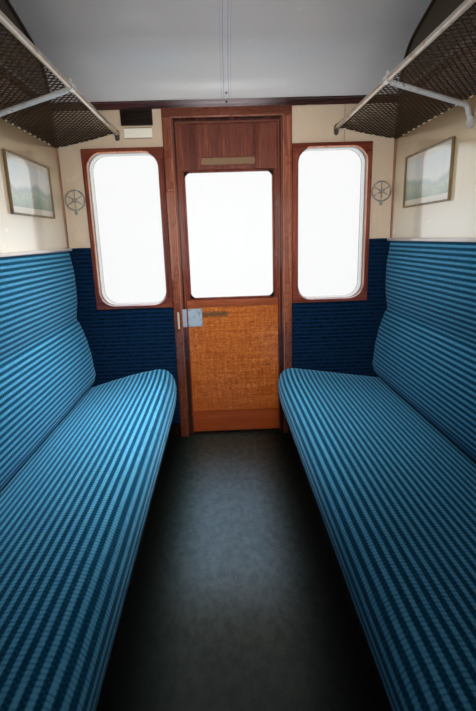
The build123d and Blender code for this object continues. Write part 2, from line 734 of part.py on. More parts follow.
with BuildPart() as seat_bases:
    for name, end in BENCH_SIGNS.items():
        nose = HALF_LENGTH - BENCH_DEPTHS[name]
        x_middle, width = span(nose + RISER_SETBACK, HALF_LENGTH - REAR_GAP)
        z_middle, height = span(FLOOR, SEAT_UNDERSIDE)
        with Locations((end * x_middle, 0, z_middle)):
            Box(width, 2 * SEAT_HALF, height)
keep("seat_bases", seat_bases.part)

with BuildPart() as back_shelves:
    for end in BENCH_SIGNS.values():
        z_middle, height = span(SHELF_LOW, SHELF_TOP)
        with Locations((end * (HALF_LENGTH - SHELF_DEPTH / 2), 0, z_middle)):
            Box(SHELF_DEPTH, 2 * (HALF_WIDTH - TRIM_THICKNESS - FIT), height)
    along = back_shelves.edges().filter_by(Axis.Y)
    shelf_fronts = along.group_by(lambda edge: round(abs(edge.center().X)))[0]
    fillet(shelf_fronts, 6)
keep("back_shelves", back_shelves.part)

# Luggage racks
RAIL_HALF = HALF_WIDTH - FLANGE_DEPTH
with BuildPart() as rack_rails:
    for end in (-1, 1):
        with BuildSketch(Plane.XZ):
            with Locations((end * RAIL_X, RAIL_Z)):
                Circle(RAIL_RADIUS)
        extrude(amount=RAIL_HALF, both=True)
        for side in SIDES.values():
            with BuildSketch(wall_plane(side, HALF_WIDTH)):
                with Locations((side * end * RAIL_X, RAIL_Z - RAIL_FOOT_DROP)):
                    SlotOverall(*RAIL_FOOT, rotation=90)
            extrude(amount=FLANGE_DEPTH)
keep("rack_rails", rack_rails.part)

BRACKET_Y = HALF_WIDTH - BRACKET_FROM_WALL
FOOT_RADIUS = 24
FOOT_DEPTH = 8
FINIAL = (6, 16)
CLAMP_LAP = 4
with BuildPart() as rack_brackets:
    for end in (-1, 1):
        for y in (-BRACKET_Y, BRACKET_Y):
            with BuildLine(Plane(origin=(0, y, 0), x_dir=(1, 0, 0), z_dir=(0, -1, 0))):
                path = FilletPolyline(
                    (end * (RAIL_X + COLLAR_RADIUS - CLAMP_LAP), RAIL_Z - RAIL_RADIUS),
                    (end * BRACKET_KNEE[0], BRACKET_KNEE[1]),
                    (end * (HALF_LENGTH - CLAMP_LAP), BRACKET_FOOT_Z + CLAMP_LAP),
                    radius=BRACKET_BEND,
                )
            with BuildSketch(path ^ 0):
                Circle(BRACKET_RADIUS)
            sweep(path=path)
            with BuildSketch(Plane.XZ.offset(-y)):
                with Locations((end * RAIL_X, RAIL_Z)):
                    Circle(COLLAR_RADIUS)
            extrude(amount=COLLAR_LENGTH / 2, both=True)
            with Locations((end * RAIL_X, y, RAIL_Z + COLLAR_RADIUS + CLAMP_LAP)):
                Cylinder(*FINIAL)
            with BuildSketch(Plane.XZ.offset(-y)):
                with Locations((end * RAIL_X, RAIL_Z)):
                    Circle(RAIL_RADIUS + FIT)
            extrude(amount=COLLAR_LENGTH, both=True, mode=Mode.SUBTRACT)
            with BuildSketch(partition_plane(end, HALF_LENGTH)):
                with Locations((-end * y, BRACKET_FOOT_Z)):
                    Circle(FOOT_RADIUS)
            extrude(amount=FOOT_DEPTH)
    with BuildSketch(Plane.YZ.offset(HALF_LENGTH)):
        Rectangle(4 * HALF_WIDTH, 8 * HALF_LENGTH)
    extrude(amount=100, mode=Mode.SUBTRACT)
    with BuildSketch(Plane.YZ.offset(-HALF_LENGTH)):
        Rectangle(4 * HALF_WIDTH, 8 * HALF_LENGTH)
    extrude(amount=-100, mode=Mode.SUBTRACT)
keep("rack_brackets", rack_brackets.part)

NET_FRONT = RAIL_X + COLLAR_RADIUS + FIT
NET_HALF = HALF_WIDTH - BEAD - 1
for name, end in BENCH_SIGNS.items():
    with BuildPart() as net:
        with BuildSketch(Plane.XZ):
            with BuildLine():
                front = (end * NET_FRONT, RAIL_Z)
                rear = (end * (HALF_LENGTH - FIT), NET_BACK_Z)
                dip = (end * (NET_FRONT + HALF_LENGTH) / 2, (RAIL_Z + NET_BACK_Z) / 2 - NET_SAG)
                lift = NET_THICKNESS
                ThreePointArc(front, dip, rear)
                Line(rear, (rear[0], rear[1] + lift))
                ThreePointArc((rear[0], rear[1] + lift), (dip[0], dip[1] + lift), (front[0], front[1] + lift))
                Line((front[0], front[1] + lift), front)
            make_face()
        extrude(amount=NET_HALF, both=True)
    keep(f"{name}_rack_net", net.part)

# Framed pictures: three over each bench
PICTURE_YS = (-(HALF_WIDTH - PICTURE_FROM_WALL), 0, HALF_WIDTH - PICTURE_FROM_WALL)
with BuildPart() as picture_frames:
    for end in (-1, 1):
        with BuildSketch(partition_plane(end, HALF_LENGTH)):
            with Locations(*[(y, PICTURE_CENTRE_Z) for y in PICTURE_YS]):
                Rectangle(*PICTURE_SIZE)
                opening = [size - 2 * PICTURE_BORDER for size in PICTURE_SIZE]
                Rectangle(*opening, mode=Mode.SUBTRACT)
        extrude(amount=PICTURE_DEPTH)
keep("picture_frames", picture_frames.part)

with BuildPart() as picture_panels:
    for end in (-1, 1):
        with BuildSketch(partition_plane(end, HALF_LENGTH)):
            with Locations(*[(y, PICTURE_CENTRE_Z) for y in PICTURE_YS]):
                inset = 2 * PICTURE_BORDER + 2 * FIT
                Rectangle(PICTURE_SIZE[0] - inset, PICTURE_SIZE[1] - inset)
        extrude(amount=PICTURE_PANEL)
keep("picture_panels", picture_panels.part)

# Outside grab handle on the lock side of each doorway
GRAB_X = -DOORWAY_HALF - 28
GRAB_Z = (FLOOR + 640, FLOOR + 1000)
GRAB_STANDOFF = 45
GRAB_RADIUS = 9
GRAB_POST = 14
GRAB_POST_INSET = 20
with BuildPart() as grab_handles:
    for side in SIDES.values():
        x = side * GRAB_X
        rod = side * (HALF_OUTSIDE + GRAB_STANDOFF)
        middle, height = span(*GRAB_Z)
        with Locations((x, rod, middle)):
            Cylinder(GRAB_RADIUS, height)
        for z in (GRAB_Z[0] + GRAB_POST_INSET, GRAB_Z[1] - GRAB_POST_INSET):
            with BuildSketch(wall_plane(side, outside_at(z))):
                with Locations((GRAB_X, z)):
                    Circle(GRAB_POST)
            extrude(amount=-(GRAB_STANDOFF + HALF_OUTSIDE - outside_at(z)))
    for name in SIDES:
        add(nodes[f"{name}_side_quarters"], mode=Mode.SUBTRACT)
keep("grab_handles", grab_handles.part)

# Doors: leaf, linings, droplight, lock and handle, hinges
LOCK_X = (-LEAF_HALF + 23, -LEAF_HALF + 108)
LOCK_Z = (FLOOR + 718, FLOOR + 827)
LOCK_DEPTH = 17
KEEP_DEPTH = 3
HANDLE_X = -LEAF_HALF + 48
HANDLE_ROSE = 28
HANDLE_ROSE_DEPTH = 6
HANDLE_SPINDLE = 9
HANDLE_STANDOFF = 34
HANDLE_BAR = (104, 20)
HANDLE_BAR_DEPTH = 12
STRIKER_X = (-DOORWAY_HALF - 26, -DOORWAY_HALF - 15)
STRIKER_Z = (FLOOR + 713, FLOOR + 814)
STRIKER_DEPTH = 6


def hinge_outline(side, way, z):
    """Knuckle and strap of a hinge half; way is -1 on the door and 1 on the body."""
    inner = outside_at(z - KNUCKLE_HEIGHT) - 1
    outer = HALF_OUTSIDE + STRAP_THICKNESS
    with Locations((side * HINGE_X, side * HINGE_Y)):
        Circle(KNUCKLE_RADIUS)
    strap_x = side * (HINGE_X + way * STRAP_LENGTHS[way] / 2)
    with Locations((strap_x, side * (inner + outer) / 2)):
        Rectangle(STRAP_LENGTHS[way], outer - inner)


for name, side in SIDES.items():
    with BuildPart() as leaf:
        with BuildSketch(Plane.YZ):
            side_section(side, LEAF_FACE, LEAF_FOOT, LEAF_TOP)
        extrude(amount=LEAF_HALF, both=True)
        with BuildSketch(wall_plane(side, LEAF_FACE)):
            z_middle, height = span(DROPLIGHT_LOW, DROPLIGHT_TOP)
            with Locations((0, z_middle)):
                Rectangle(2 * (DROPLIGHT_HALF + DROPLIGHT_FRAME), height + 2 * DROPLIGHT_FRAME)
        extrude(amount=-WALL_THICKNESS, mode=Mode.SUBTRACT)
    keep(f"{name}_door_leaf", leaf.part)

    with BuildPart() as linings:
        with BuildSketch(wall_plane(side, LEAF_FACE)):
            for low, top in (
                (KICK_TOP + LINING_JOINT, MID_RAIL_LOW - LINING_JOINT),
                (DROPLIGHT_TOP + DROPLIGHT_FRAME, DOORWAY_TOP - STOP_WIDTH - STOP_CLEARANCE),
            ):
                z_middle, height = span(low, top)
                with Locations((0, z_middle)):
                    Rectangle(2 * LINING_HALF, height)
            x_middle, width = span(*LOCK_X)
            z_middle, height = span(*LOCK_Z)
            with Locations((x_middle, z_middle)):
                Rectangle(width + 2 * FIT, height + 2 * FIT, mode=Mode.SUBTRACT)
        extrude(amount=PLY_THICKNESS)
    keep(f"{name}_door_panels", linings.part)

    with BuildPart() as rails:
        with BuildSketch(wall_plane(side, LEAF_FACE)):
            z_middle, height = span(LEAF_FOOT + 4, KICK_TOP)
            with Locations((0, z_middle)):
                Rectangle(2 * LINING_HALF, height)
        extrude(amount=KICK_THICKNESS)
        with BuildSketch(wall_plane(side, LEAF_FACE)):
            z_middle, height = span(MID_RAIL_LOW, DROPLIGHT_LOW - DROPLIGHT_FRAME)
            with Locations((0, z_middle)):
                Rectangle(2 * LINING_HALF, height)
        extrude(amount=MID_RAIL_DEPTH)
        with BuildSketch(wall_plane(side, LEAF_FACE - PLY_THICKNESS)):
            with Locations((0, LABEL_CENTRE)):
                RectangleRounded(LABEL_SIZE[0], LABEL_SIZE[1], 4)
        extrude(amount=LABEL_SIZE[2])
    keep(f"{name}_door_rails", rails.part)

    with BuildPart() as droplight:
        with BuildSketch(wall_plane(side, LEAF_FACE + DROPLIGHT_SET)):
            z_middle, height = span(DROPLIGHT_LOW, DROPLIGHT_TOP)
            grown = 2 * (DROPLIGHT_FRAME - FIT)
            with Locations((0, z_middle)):
                Rectangle(2 * DROPLIGHT_HALF + grown, height + grown)
                RectangleRounded(2 * DROPLIGHT_HALF, height, DROPLIGHT_CORNER, mode=Mode.SUBTRACT)
        extrude(amount=-DROPLIGHT_DEPTH)
    keep(f"{name}_droplight_frame", droplight.part)

    with BuildPart() as pane:
        glass_set = LEAF_FACE + DROPLIGHT_SET + (DROPLIGHT_DEPTH - DROPLIGHT_GLASS) / 2
        with BuildSketch(wall_plane(side, glass_set)):
            z_middle, height = span(DROPLIGHT_LOW, DROPLIGHT_TOP)
            with Locations((0, z_middle)):
                RectangleRounded(2 * (DROPLIGHT_HALF - FIT), height - 2 * FIT, DROPLIGHT_CORNER - FIT)
        extrude(amount=-DROPLIGHT_GLASS)
    keep(f"{name}_droplight_glass", pane.part)

    with BuildPart() as lockset:
        x_middle, width = span(*LOCK_X)
        z_middle, height = span(*LOCK_Z)
        with BuildSketch(wall_plane(side, LEAF_FACE)):
            with Locations((x_middle, z_middle)):
                RectangleRounded(width, height, 6)
        extrude(amount=LOCK_DEPTH)
        with BuildSketch(wall_plane(side, HALF_OUTSIDE)):
            with Locations((HANDLE_X, z_middle)):
                Circle(HANDLE_ROSE)
        extrude(amount=-HANDLE_ROSE_DEPTH)
        with BuildSketch(wall_plane(side, HALF_OUTSIDE)):
            with Locations((HANDLE_X, z_middle)):
                Circle(HANDLE_SPINDLE)
        extrude(amount=-HANDLE_STANDOFF)
        with BuildSketch(wall_plane(side, HALF_OUTSIDE + HANDLE_STANDOFF)):
            with Locations((HANDLE_X, z_middle)):
                SlotOverall(*HANDLE_BAR)
        extrude(amount=-HANDLE_BAR_DEPTH)
    keep(f"{name}_door_lockset", lockset.part)

    with BuildPart() as hinges:
        axis = (side * HINGE_X, side * HINGE_Y)
        for z in HINGE_ZS:
            with BuildSketch(Plane.XY.offset(z + KNUCKLE_GAP / 2)):
                hinge_outline(side, -1, z)
                with Locations(axis):
                    Circle(PIN_RADIUS + PIN_CLEARANCE, mode=Mode.SUBTRACT)
            extrude(amount=KNUCKLE_HEIGHT)
        add(leaf.part, mode=Mode.SUBTRACT)
    keep(f"{name}_door_hinges", hinges.part)

# Fixed halves of the hinges, with their pins, the lock's keep on the stop and its
# striker on the architrave
with BuildPart() as door_fixings:
    for name, side in SIDES.items():
        axis = (side * HINGE_X, side * HINGE_Y)
        for z in HINGE_ZS:
            with BuildSketch(Plane.XY.offset(z - KNUCKLE_GAP / 2)):
                hinge_outline(side, 1, z)
            extrude(amount=-KNUCKLE_HEIGHT)
            with BuildSketch(Plane.XY.offset(z - KNUCKLE_GAP / 2)):
                with Locations(axis):
                    Circle(PIN_RADIUS)
            extrude(amount=KNUCKLE_HEIGHT + KNUCKLE_GAP + 3)
        add(nodes[f"{name}_side_quarters"], mode=Mode.SUBTRACT)
    for side in SIDES.values():
        with BuildSketch(wall_plane(side, HALF_WIDTH)):
            x_middle, width = span(-DOORWAY_HALF, -DOORWAY_HALF + STOP_WIDTH)
            z_middle, height = span(*LOCK_Z)
            with Locations((x_middle, z_middle)):
                Rectangle(width, height)
        extrude(amount=KEEP_DEPTH)
        with BuildSketch(wall_plane(side, HALF_WIDTH - ARCHITRAVE_DEPTH)):
            x_middle, width = span(*STRIKER_X)
            z_middle, height = span(*STRIKER_Z)
            with Locations((x_middle, z_middle)):
                Rectangle(width, height)
        extrude(amount=STRIKER_DEPTH)
keep("door_fixings", door_fixings.part)
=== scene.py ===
"""Finishes, upholstery and fittings of one compartment of a vintage compartment carriage.

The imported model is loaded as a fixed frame. Round it this script builds the
striped seats and seat backs, the padded wall trim, the knotted rack nets, the
beads, screws and small furniture, and gives every surface its finish. Lengths
are metres in the model's own frame: X along the carriage, Y across it towards
the side that the camera faces, Z up.
"""

import logging
import math
from collections.abc import Callable, Iterable, Sequence
from dataclasses import dataclass, field
from enum import Enum

import bmesh
import bpy
import numpy as np
from mathutils import Matrix, Vector


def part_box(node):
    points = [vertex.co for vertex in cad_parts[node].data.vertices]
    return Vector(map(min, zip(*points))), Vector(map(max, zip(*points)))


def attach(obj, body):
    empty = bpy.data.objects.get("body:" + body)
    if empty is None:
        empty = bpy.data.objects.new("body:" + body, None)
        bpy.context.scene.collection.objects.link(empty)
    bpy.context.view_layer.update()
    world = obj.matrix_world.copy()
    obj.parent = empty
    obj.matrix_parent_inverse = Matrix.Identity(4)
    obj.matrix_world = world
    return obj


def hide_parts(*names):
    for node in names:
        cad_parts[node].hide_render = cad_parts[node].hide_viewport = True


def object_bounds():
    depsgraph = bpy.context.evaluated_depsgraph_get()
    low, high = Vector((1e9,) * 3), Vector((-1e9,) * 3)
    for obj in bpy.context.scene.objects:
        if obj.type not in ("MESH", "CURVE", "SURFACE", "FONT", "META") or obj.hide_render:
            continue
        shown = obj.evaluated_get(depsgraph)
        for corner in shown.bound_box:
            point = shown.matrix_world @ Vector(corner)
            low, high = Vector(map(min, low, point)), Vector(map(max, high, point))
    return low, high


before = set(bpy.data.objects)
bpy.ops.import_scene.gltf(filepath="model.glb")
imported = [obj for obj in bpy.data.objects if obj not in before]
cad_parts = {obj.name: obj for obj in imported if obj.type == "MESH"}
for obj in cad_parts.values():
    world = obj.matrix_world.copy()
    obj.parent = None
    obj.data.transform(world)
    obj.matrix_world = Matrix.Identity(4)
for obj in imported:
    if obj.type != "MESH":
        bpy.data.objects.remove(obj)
CAD_BOX = [list(corner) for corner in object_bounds()]

log = logging.getLogger("compartment")
Colour = tuple[float, float, float]
Point = tuple[float, float, float]
Socket = bpy.types.NodeSocket

BODY = "carriage_body"
DOORS = {"far": "far_door", "near": "near_door"}
SIDES = {"far": 1.0, "near": -1.0}
ENDS = {"left": -1.0, "right": 1.0}

FLOOR_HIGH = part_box("floor_lino")[1]
FLOOR = FLOOR_HIGH.z
HALF_LENGTH = FLOOR_HIGH.x
HALF_WIDTH = FLOOR_HIGH.y

LEAST, MOST = -1.0, 9.0
OPEN = (LEAST, MOST)
DARK_GRAIN, MIDDLE_GRAIN, LIGHT_GRAIN = 0.34, 0.5, 0.66
WELD = 0.0001
DRESS_WELD = 0.00002


def paint(red: int, green: int, blue: int) -> Colour:
    """Linear colour of a shade written as bytes.

    Args:
        red: Red, 0 to 255.
        green: Green, 0 to 255.
        blue: Blue, 0 to 255.

    Returns:
        The same shade in linear light.
    """
    shares = (red / 255, green / 255, blue / 255)
    return tuple(s / 12.92 if s <= 0.04045 else ((s + 0.055) / 1.055) ** 2.4 for s in shares)


class Grain(Enum):
    """Which way the grain of a board runs."""

    UPRIGHT = (1.0, 1.0, 0.045)
    LENGTHWISE = (0.045, 1.0, 1.0)
    ACROSS = (1.0, 0.045, 1.0)


class Ease(Enum):
    """How far the sharp edges of a node are bevelled, in metres."""

    NONE = 0.0
    THIN = 0.0006
    FINE = 0.001
    LINING = 0.0015
    PLAIN = 0.002
    BROAD = 0.003


class Shader:
    """A node material in the making, with one short method for each kind of node."""

    def __init__(self, name: str) -> None:
        """Start a material with its principled surface.

        Args:
            name: The material's name.
        """
        self.material = bpy.data.materials.new(name)
        self.material.use_nodes = True
        self.tree = self.material.node_tree
        self.surface = self.tree.nodes["Principled BSDF"]
        self.place = self.add("ShaderNodeTexCoord").outputs["Object"]
        split = self.add("ShaderNodeSeparateXYZ")
        self.feed(split.inputs[0], self.place)
        self.x, self.y, self.z = split.outputs
        self.normal: Socket | None = None

    def add(self, kind: str, **settings: object) -> bpy.types.Node:
        """Add a node.

        Args:
            kind: Blender's name of the node type.
            **settings: Properties to set on it.

        Returns:
            The new node.
        """
        node = self.tree.nodes.new(kind)
        for key, value in settings.items():
            setattr(node, key, value)
        return node

    def feed(self, socket: Socket, value: object) -> None:
        """Link a socket to another or give it a constant.

        Args:
            socket: The input.
            value: An output socket, a number or a colour.
        """
        if isinstance(value, bpy.types.NodeSocket):
            self.tree.links.new(value, socket)
        elif socket.type == "RGBA":
            socket.default_value = (*value, 1.0)
        else:
            socket.default_value = value

    def maths(self, operation: str, *values: object) -> Socket:
        """Work out a number from others.

        Args:
            operation: Blender's name of the operation.
            *values: Sockets or numbers.

        Returns:
            The result.
        """
        node = self.add("ShaderNodeMath", operation=operation)
        for socket, value in zip(node.inputs, values):
            self.feed(socket, value)
        return node.outputs[0]

    def step(self, value: object, low: float, high: float) -> Socket:
        """Smooth rise from 0 at low to 1 at high, or a fall where low is the larger.

        Args:
            value: The number that is looked at.
            low: Where the result is 0.
            high: Where it is 1.

        Returns:
            Share between 0 and 1.
        """
        node = self.add("ShaderNodeMapRange", interpolation_type="SMOOTHSTEP")
        self.feed(node.inputs["Value"], value)
        self.feed(node.inputs["From Min"], min(low, high))
        self.feed(node.inputs["From Max"], max(low, high))
        self.feed(node.inputs["To Min"], 0.0 if low < high else 1.0)
        self.feed(node.inputs["To Max"], 1.0 if low < high else 0.0)
        return node.outputs[0]

    def within(self, value: object, low: float, high: float, edge: float = 0.001) -> Socket:
        """Mask that is 1 between two levels and fades out over an edge.

        Args:
            value: The number that is looked at.
            low: Lower level.
            high: Upper level.
            edge: Width of the fade at each level.

        Returns:
            The mask.
        """
        rise = self.step(value, low - edge / 2, low + edge / 2)
        return self.maths("MULTIPLY", rise, self.step(value, high + edge / 2, high - edge / 2))

    def both(self, *masks: Socket) -> Socket:
        """Product of masks.

        Args:
            *masks: The masks.

        Returns:
            Mask of where all of them hold.
        """
        result = masks[0]
        for mask in masks[1:]:
            result = self.maths("MULTIPLY", result, mask)
        return result

    def stretched(self, stretch: Sequence[float]) -> Socket:
        """Object coordinates with each axis scaled.

        Args:
            stretch: Scale of each axis.

        Returns:
            The scaled coordinates.
        """
        node = self.add("ShaderNodeMapping")
        self.feed(node.inputs["Vector"], self.place)
        self.feed(node.inputs["Scale"], tuple(stretch))
        return node.outputs[0]

    def noise(
        self,
        scale: float,
        detail: float = 3,
        rough: float = 0.55,
        stretch: Sequence[float] = (1, 1, 1),
        warp: float = 0,
    ) -> Socket:
        """Cloudy noise between 0 and 1.

        Args:
            scale: Features to the metre.
            detail: Octaves.
            rough: Share of the finer octaves.
            stretch: Scale of each axis.
            warp: How far the pattern is bent by itself.

        Returns:
            The noise.
        """
        node = self.add("ShaderNodeTexNoise")
        self.feed(node.inputs["Vector"], self.stretched(stretch))
        settings = {"Scale": scale, "Detail": detail, "Roughness": rough, "Distortion": warp}
        for key, value in settings.items():
            self.feed(node.inputs[key], float(value))
        return node.outputs["Fac"]

    def ramp(self, factor: Socket, *stops: tuple[float, Colour]) -> Socket:
        """Colour looked up along a ramp.

        Args:
            factor: Place on the ramp, 0 to 1.
            *stops: Pairs of a place and its colour, in order.

        Returns:
            The colour.
        """
        node = self.add("ShaderNodeValToRGB")
        self.feed(node.inputs[0], factor)
        elements = node.color_ramp.elements
        while len(elements) < len(stops):
            elements.new(0.5)
        for element, (place, colour) in zip(elements, stops):
            element.position = place
            element.color = (*colour, 1.0)
        return node.outputs[0]

    def mix(self, factor: object, low: object, high: object, blend: str = "MIX") -> Socket:
        """Mix of two colours.

        Args:
            factor: Share of the second.
            low: First colour.
            high: Second colour.
            blend: Blender's name of the blend.

        Returns:
            The mixed colour.
        """
        node = self.add("ShaderNodeMix", data_type="RGBA", blend_type=blend)
        sockets = [node.inputs[0], node.inputs[6], node.inputs[7]]
        for socket, value in zip(sockets, (factor, low, high)):
            self.feed(socket, value)
        return node.outputs[2]

    def blend(self, factor: object, low: float, high: float) -> Socket:
        """Number that runs from low to high with a factor.

        Args:
            factor: Share between 0 and 1.
            low: Result at 0.
            high: Result at 1.

        Returns:
            The number.
        """
        node = self.add("ShaderNodeMapRange")
        self.feed(node.inputs["Value"], factor)
        self.feed(node.inputs["To Min"], low)
        self.feed(node.inputs["To Max"], high)
        return node.outputs[0]

    def bump(self, height: Socket, distance: float, strength: float = 1.0) -> None:
        """Raise the surface by a height map, on top of any earlier one.

        Args:
            height: Height between 0 and 1.
            distance: Full height in metres.
            strength: How much of it shows.
        """
        node = self.add("ShaderNodeBump")
        self.feed(node.inputs["Height"], height)
        self.feed(node.inputs["Distance"], distance)
        self.feed(node.inputs["Strength"], strength)
        if self.normal is not None:
            self.feed(node.inputs["Normal"], self.normal)
        self.normal = node.outputs[0]

    def finish(self, colour: object, rough: object, **constants: object) -> bpy.types.Material:
        """Give the surface its colour, roughness, normal and constants.

        Args:
            colour: Base colour or its socket.
            rough: Roughness or its socket.
            **constants: Other inputs, named with underscores for spaces: a number, a colour
                or a socket.

        Returns:
            The finished material.
        """
        self.feed(self.surface.inputs["Base Color"], colour)
        self.feed(self.surface.inputs["Roughness"], rough)
        if self.normal is not None:
            self.feed(self.surface.inputs["Normal"], self.normal)
        for key, value in constants.items():
            self.feed(self.surface.inputs[key.replace("_", " ")], value)
        return self.material


@dataclass(frozen=True)
class Patch:
    """A box of the model inside which a surface has another colour.

    Its limits are on |x|, |y| and z, and LEAST and MOST leave a side open. A handed
    patch counts x towards the right of someone who looks at the near or far side
    from the aisle, so that it lies on the same hand at both doors.
    """

    colour: Colour
    x: tuple[float, float] = OPEN
    y: tuple[float, float] = OPEN
    z: tuple[float, float] = OPEN
    edge: float = 0.001
    share: float = 1.0
    ragged: float = 0.0
    handed: bool = False

    def mask(self, shader: Shader) -> Socket:
        """Where the patch lies, with a ragged edge where asked.

        Args:
            shader: The material that it lies on.

        Returns:
            Share of the patch's colour at each point.
        """
        across = shader.maths("ABSOLUTE", shader.x)
        if self.handed:
            across = shader.maths("MULTIPLY", shader.x, shader.maths("SIGN", shader.y))
        places = [across, shader.maths("ABSOLUTE", shader.y), shader.z]
        masks = []
        for place, limits in zip(places, (self.x, self.y, self.z)):
            if limits != OPEN:
                if self.ragged:
                    jitter = shader.maths("SUBTRACT", shader.noise(45, 4, 0.7), 0.5)
                    place = shader.maths("MULTIPLY_ADD", jitter, self.ragged, place)
                masks.append(shader.within(place, *limits, self.edge))
        return shader.maths("MULTIPLY", shader.both(*masks), self.share)


def patched(shader: Shader, colour: Socket, patches: Iterable[Patch]) -> Socket:
    """Lay patches over a colour, one on top of the other.

    Args:
        shader: The material.
        colour: The colour below.
        patches: The patches, from the lowest up.

    Returns:
        The patched colour.
    """
    for patch in patches:
        colour = shader.mix(patch.mask(shader), colour, patch.colour)
    return colour


@dataclass(frozen=True)
class Varnish:
    """Varnished joinery whose grain shows through a glossy coat."""

    name: str
    dark: Colour
    middle: Colour
    light: Colour
    grain: Grain = Grain.UPRIGHT
    turned: tuple[tuple[float, float], ...] = ()
    turned_grain: Grain = Grain.LENGTHWISE
    joint: float = 0.002
    figure: float = 26.0
    rough: float = 0.34
    coat: float = 0.55
    patches: tuple[Patch, ...] = ()

    def figured(self, shader: Shader, grain: Grain) -> Socket:
        """Grain figure for one direction, from broad bands, fine lines and pores.

        Args:
            shader: The material.
            grain: The direction.

        Returns:
            The figure, about 0 to 1.
        """
        broad = shader.noise(self.figure, 4, 0.6, grain.value, 0.35)
        lines = shader.noise(self.figure * 7, 3, 0.6, grain.value)
        pores = shader.noise(self.figure * 26, 2, 0.5, grain.value)
        bands = shader.maths("MULTIPLY_ADD", lines, 0.36, shader.maths("MULTIPLY", broad, 0.5))
        return shader.maths("MULTIPLY_ADD", pores, 0.16, bands)

    def board(self, shader: Shader) -> Socket:
        """Figure of the whole piece, with the grain turned in its cross pieces.

        Args:
            shader: The material.

        Returns:
            The figure, about 0 to 1.
        """
        figure = self.figured(shader, self.grain)
        for low, high in self.turned:
            above = shader.step(shader.z, low, low + self.joint)
            inside = shader.both(above, shader.step(shader.z, high + self.joint, high))
            other = self.figured(shader, self.turned_grain)
            spread = shader.maths("SUBTRACT", other, figure)
            figure = shader.maths("MULTIPLY_ADD", spread, inside, figure)
        return figure

    def tinted(self, shader: Shader, figure: Socket) -> Socket:
        """Colours of the wood along its figure.

        Args:
            shader: The material.
            figure: The figure.

        Returns:
            The colour.
        """
        return shader.ramp(
            figure, (DARK_GRAIN, self.dark), (MIDDLE_GRAIN, self.middle), (LIGHT_GRAIN, self.light)
        )

    def build(self) -> bpy.types.Material:
        """Make the material.

        Returns:
            The material.
        """
        shader = Shader(self.name)
        figure = self.board(shader)
        colour = self.tinted(shader, figure)
        grime = shader.noise(5.5, 5, 0.65)
        colour = shader.mix(shader.step(grime, 0.56, 0.8), colour, self.dark)
        colour = patched(shader, colour, self.patches)
        shader.bump(figure, 0.0005, 0.5)
        shader.bump(shader.noise(38, 2, 0.4), 0.0006, 0.35)
        rough = shader.blend(shader.noise(14, 4, 0.6), self.rough - 0.1, self.rough + 0.14)
        return shader.finish(
            colour, rough, Coat_Weight=self.coat, Coat_Roughness=0.1, Specular_IOR_Level=0.45
        )


@dataclass(frozen=True)
class Enamel:
    """Brushed gloss paint with faint brush marks, stains and dirt."""

    name: str
    colour: Colour
    stain: Colour
    rough: float = 0.3
    coat: float = 0.35
    stains: float = 0.25
    ripple: float = 0.0016
    metallic: float = 0.0
    gloss: float = 1.5
    matt_above: float = MOST
    patches: tuple[Patch, ...] = ()

    def build(self) -> bpy.types.Material:
        """Make the material."""
        shader = Shader(self.name)
        return self.coated(shader, self.base(shader))

    def base(self, shader: Shader) -> Socket:
        """Colour of the paint with its clouds, runs and specks of stain.

        Args:
            shader: The material.

        Returns:
            The colour.
        """
        clouds = shader.step(shader.noise(2.6, 3, 0.5, (1, 1, 0.45)), 0.3, 0.85)
        runs = shader.step(shader.noise(34, 3, 0.6, (1, 1, 0.06)), 0.5, 0.8)
        specks = shader.step(shader.noise(160, 2, 0.5), 0.66, 0.8)
        colour = self.colour
        layers = ((clouds, self.stains), (runs, self.stains * 0.5), (specks, self.stains))
        for stain, share in layers:
            colour = shader.mix(shader.maths("MULTIPLY", stain, share), colour, self.stain)
        return patched(shader, colour, self.patches)

    def coated(self, shader: Shader, colour: Socket) -> bpy.types.Material:
        """Finish a shader with this paint's gloss and ripple.

        Args:
            shader: The material.
            colour: Its colour.

        Returns:
            The finished material.
        """
        shader.bump(shader.noise(7.5, 2, 0.4, (1, 1, 0.5)), self.ripple, 0.5)
        shader.bump(shader.noise(420, 2, 0.5), 0.00012, 0.35)
        rough = shader.blend(shader.noise(9, 5, 0.6), self.rough - 0.08, self.rough + 0.14)
        coat: Socket | float = self.coat
        if self.matt_above < MOST:
            glossy = shader.step(shader.z, self.matt_above + 0.03, self.matt_above - 0.03)
            coat = shader.maths("MULTIPLY", glossy, self.coat)
        return shader.finish(
            colour,
            rough,
            Coat_Weight=coat,
            Coat_Roughness=0.09,
            Coat_IOR=self.gloss,
            Metallic=self.metallic,
            Specular_IOR_Level=0.5,
        )


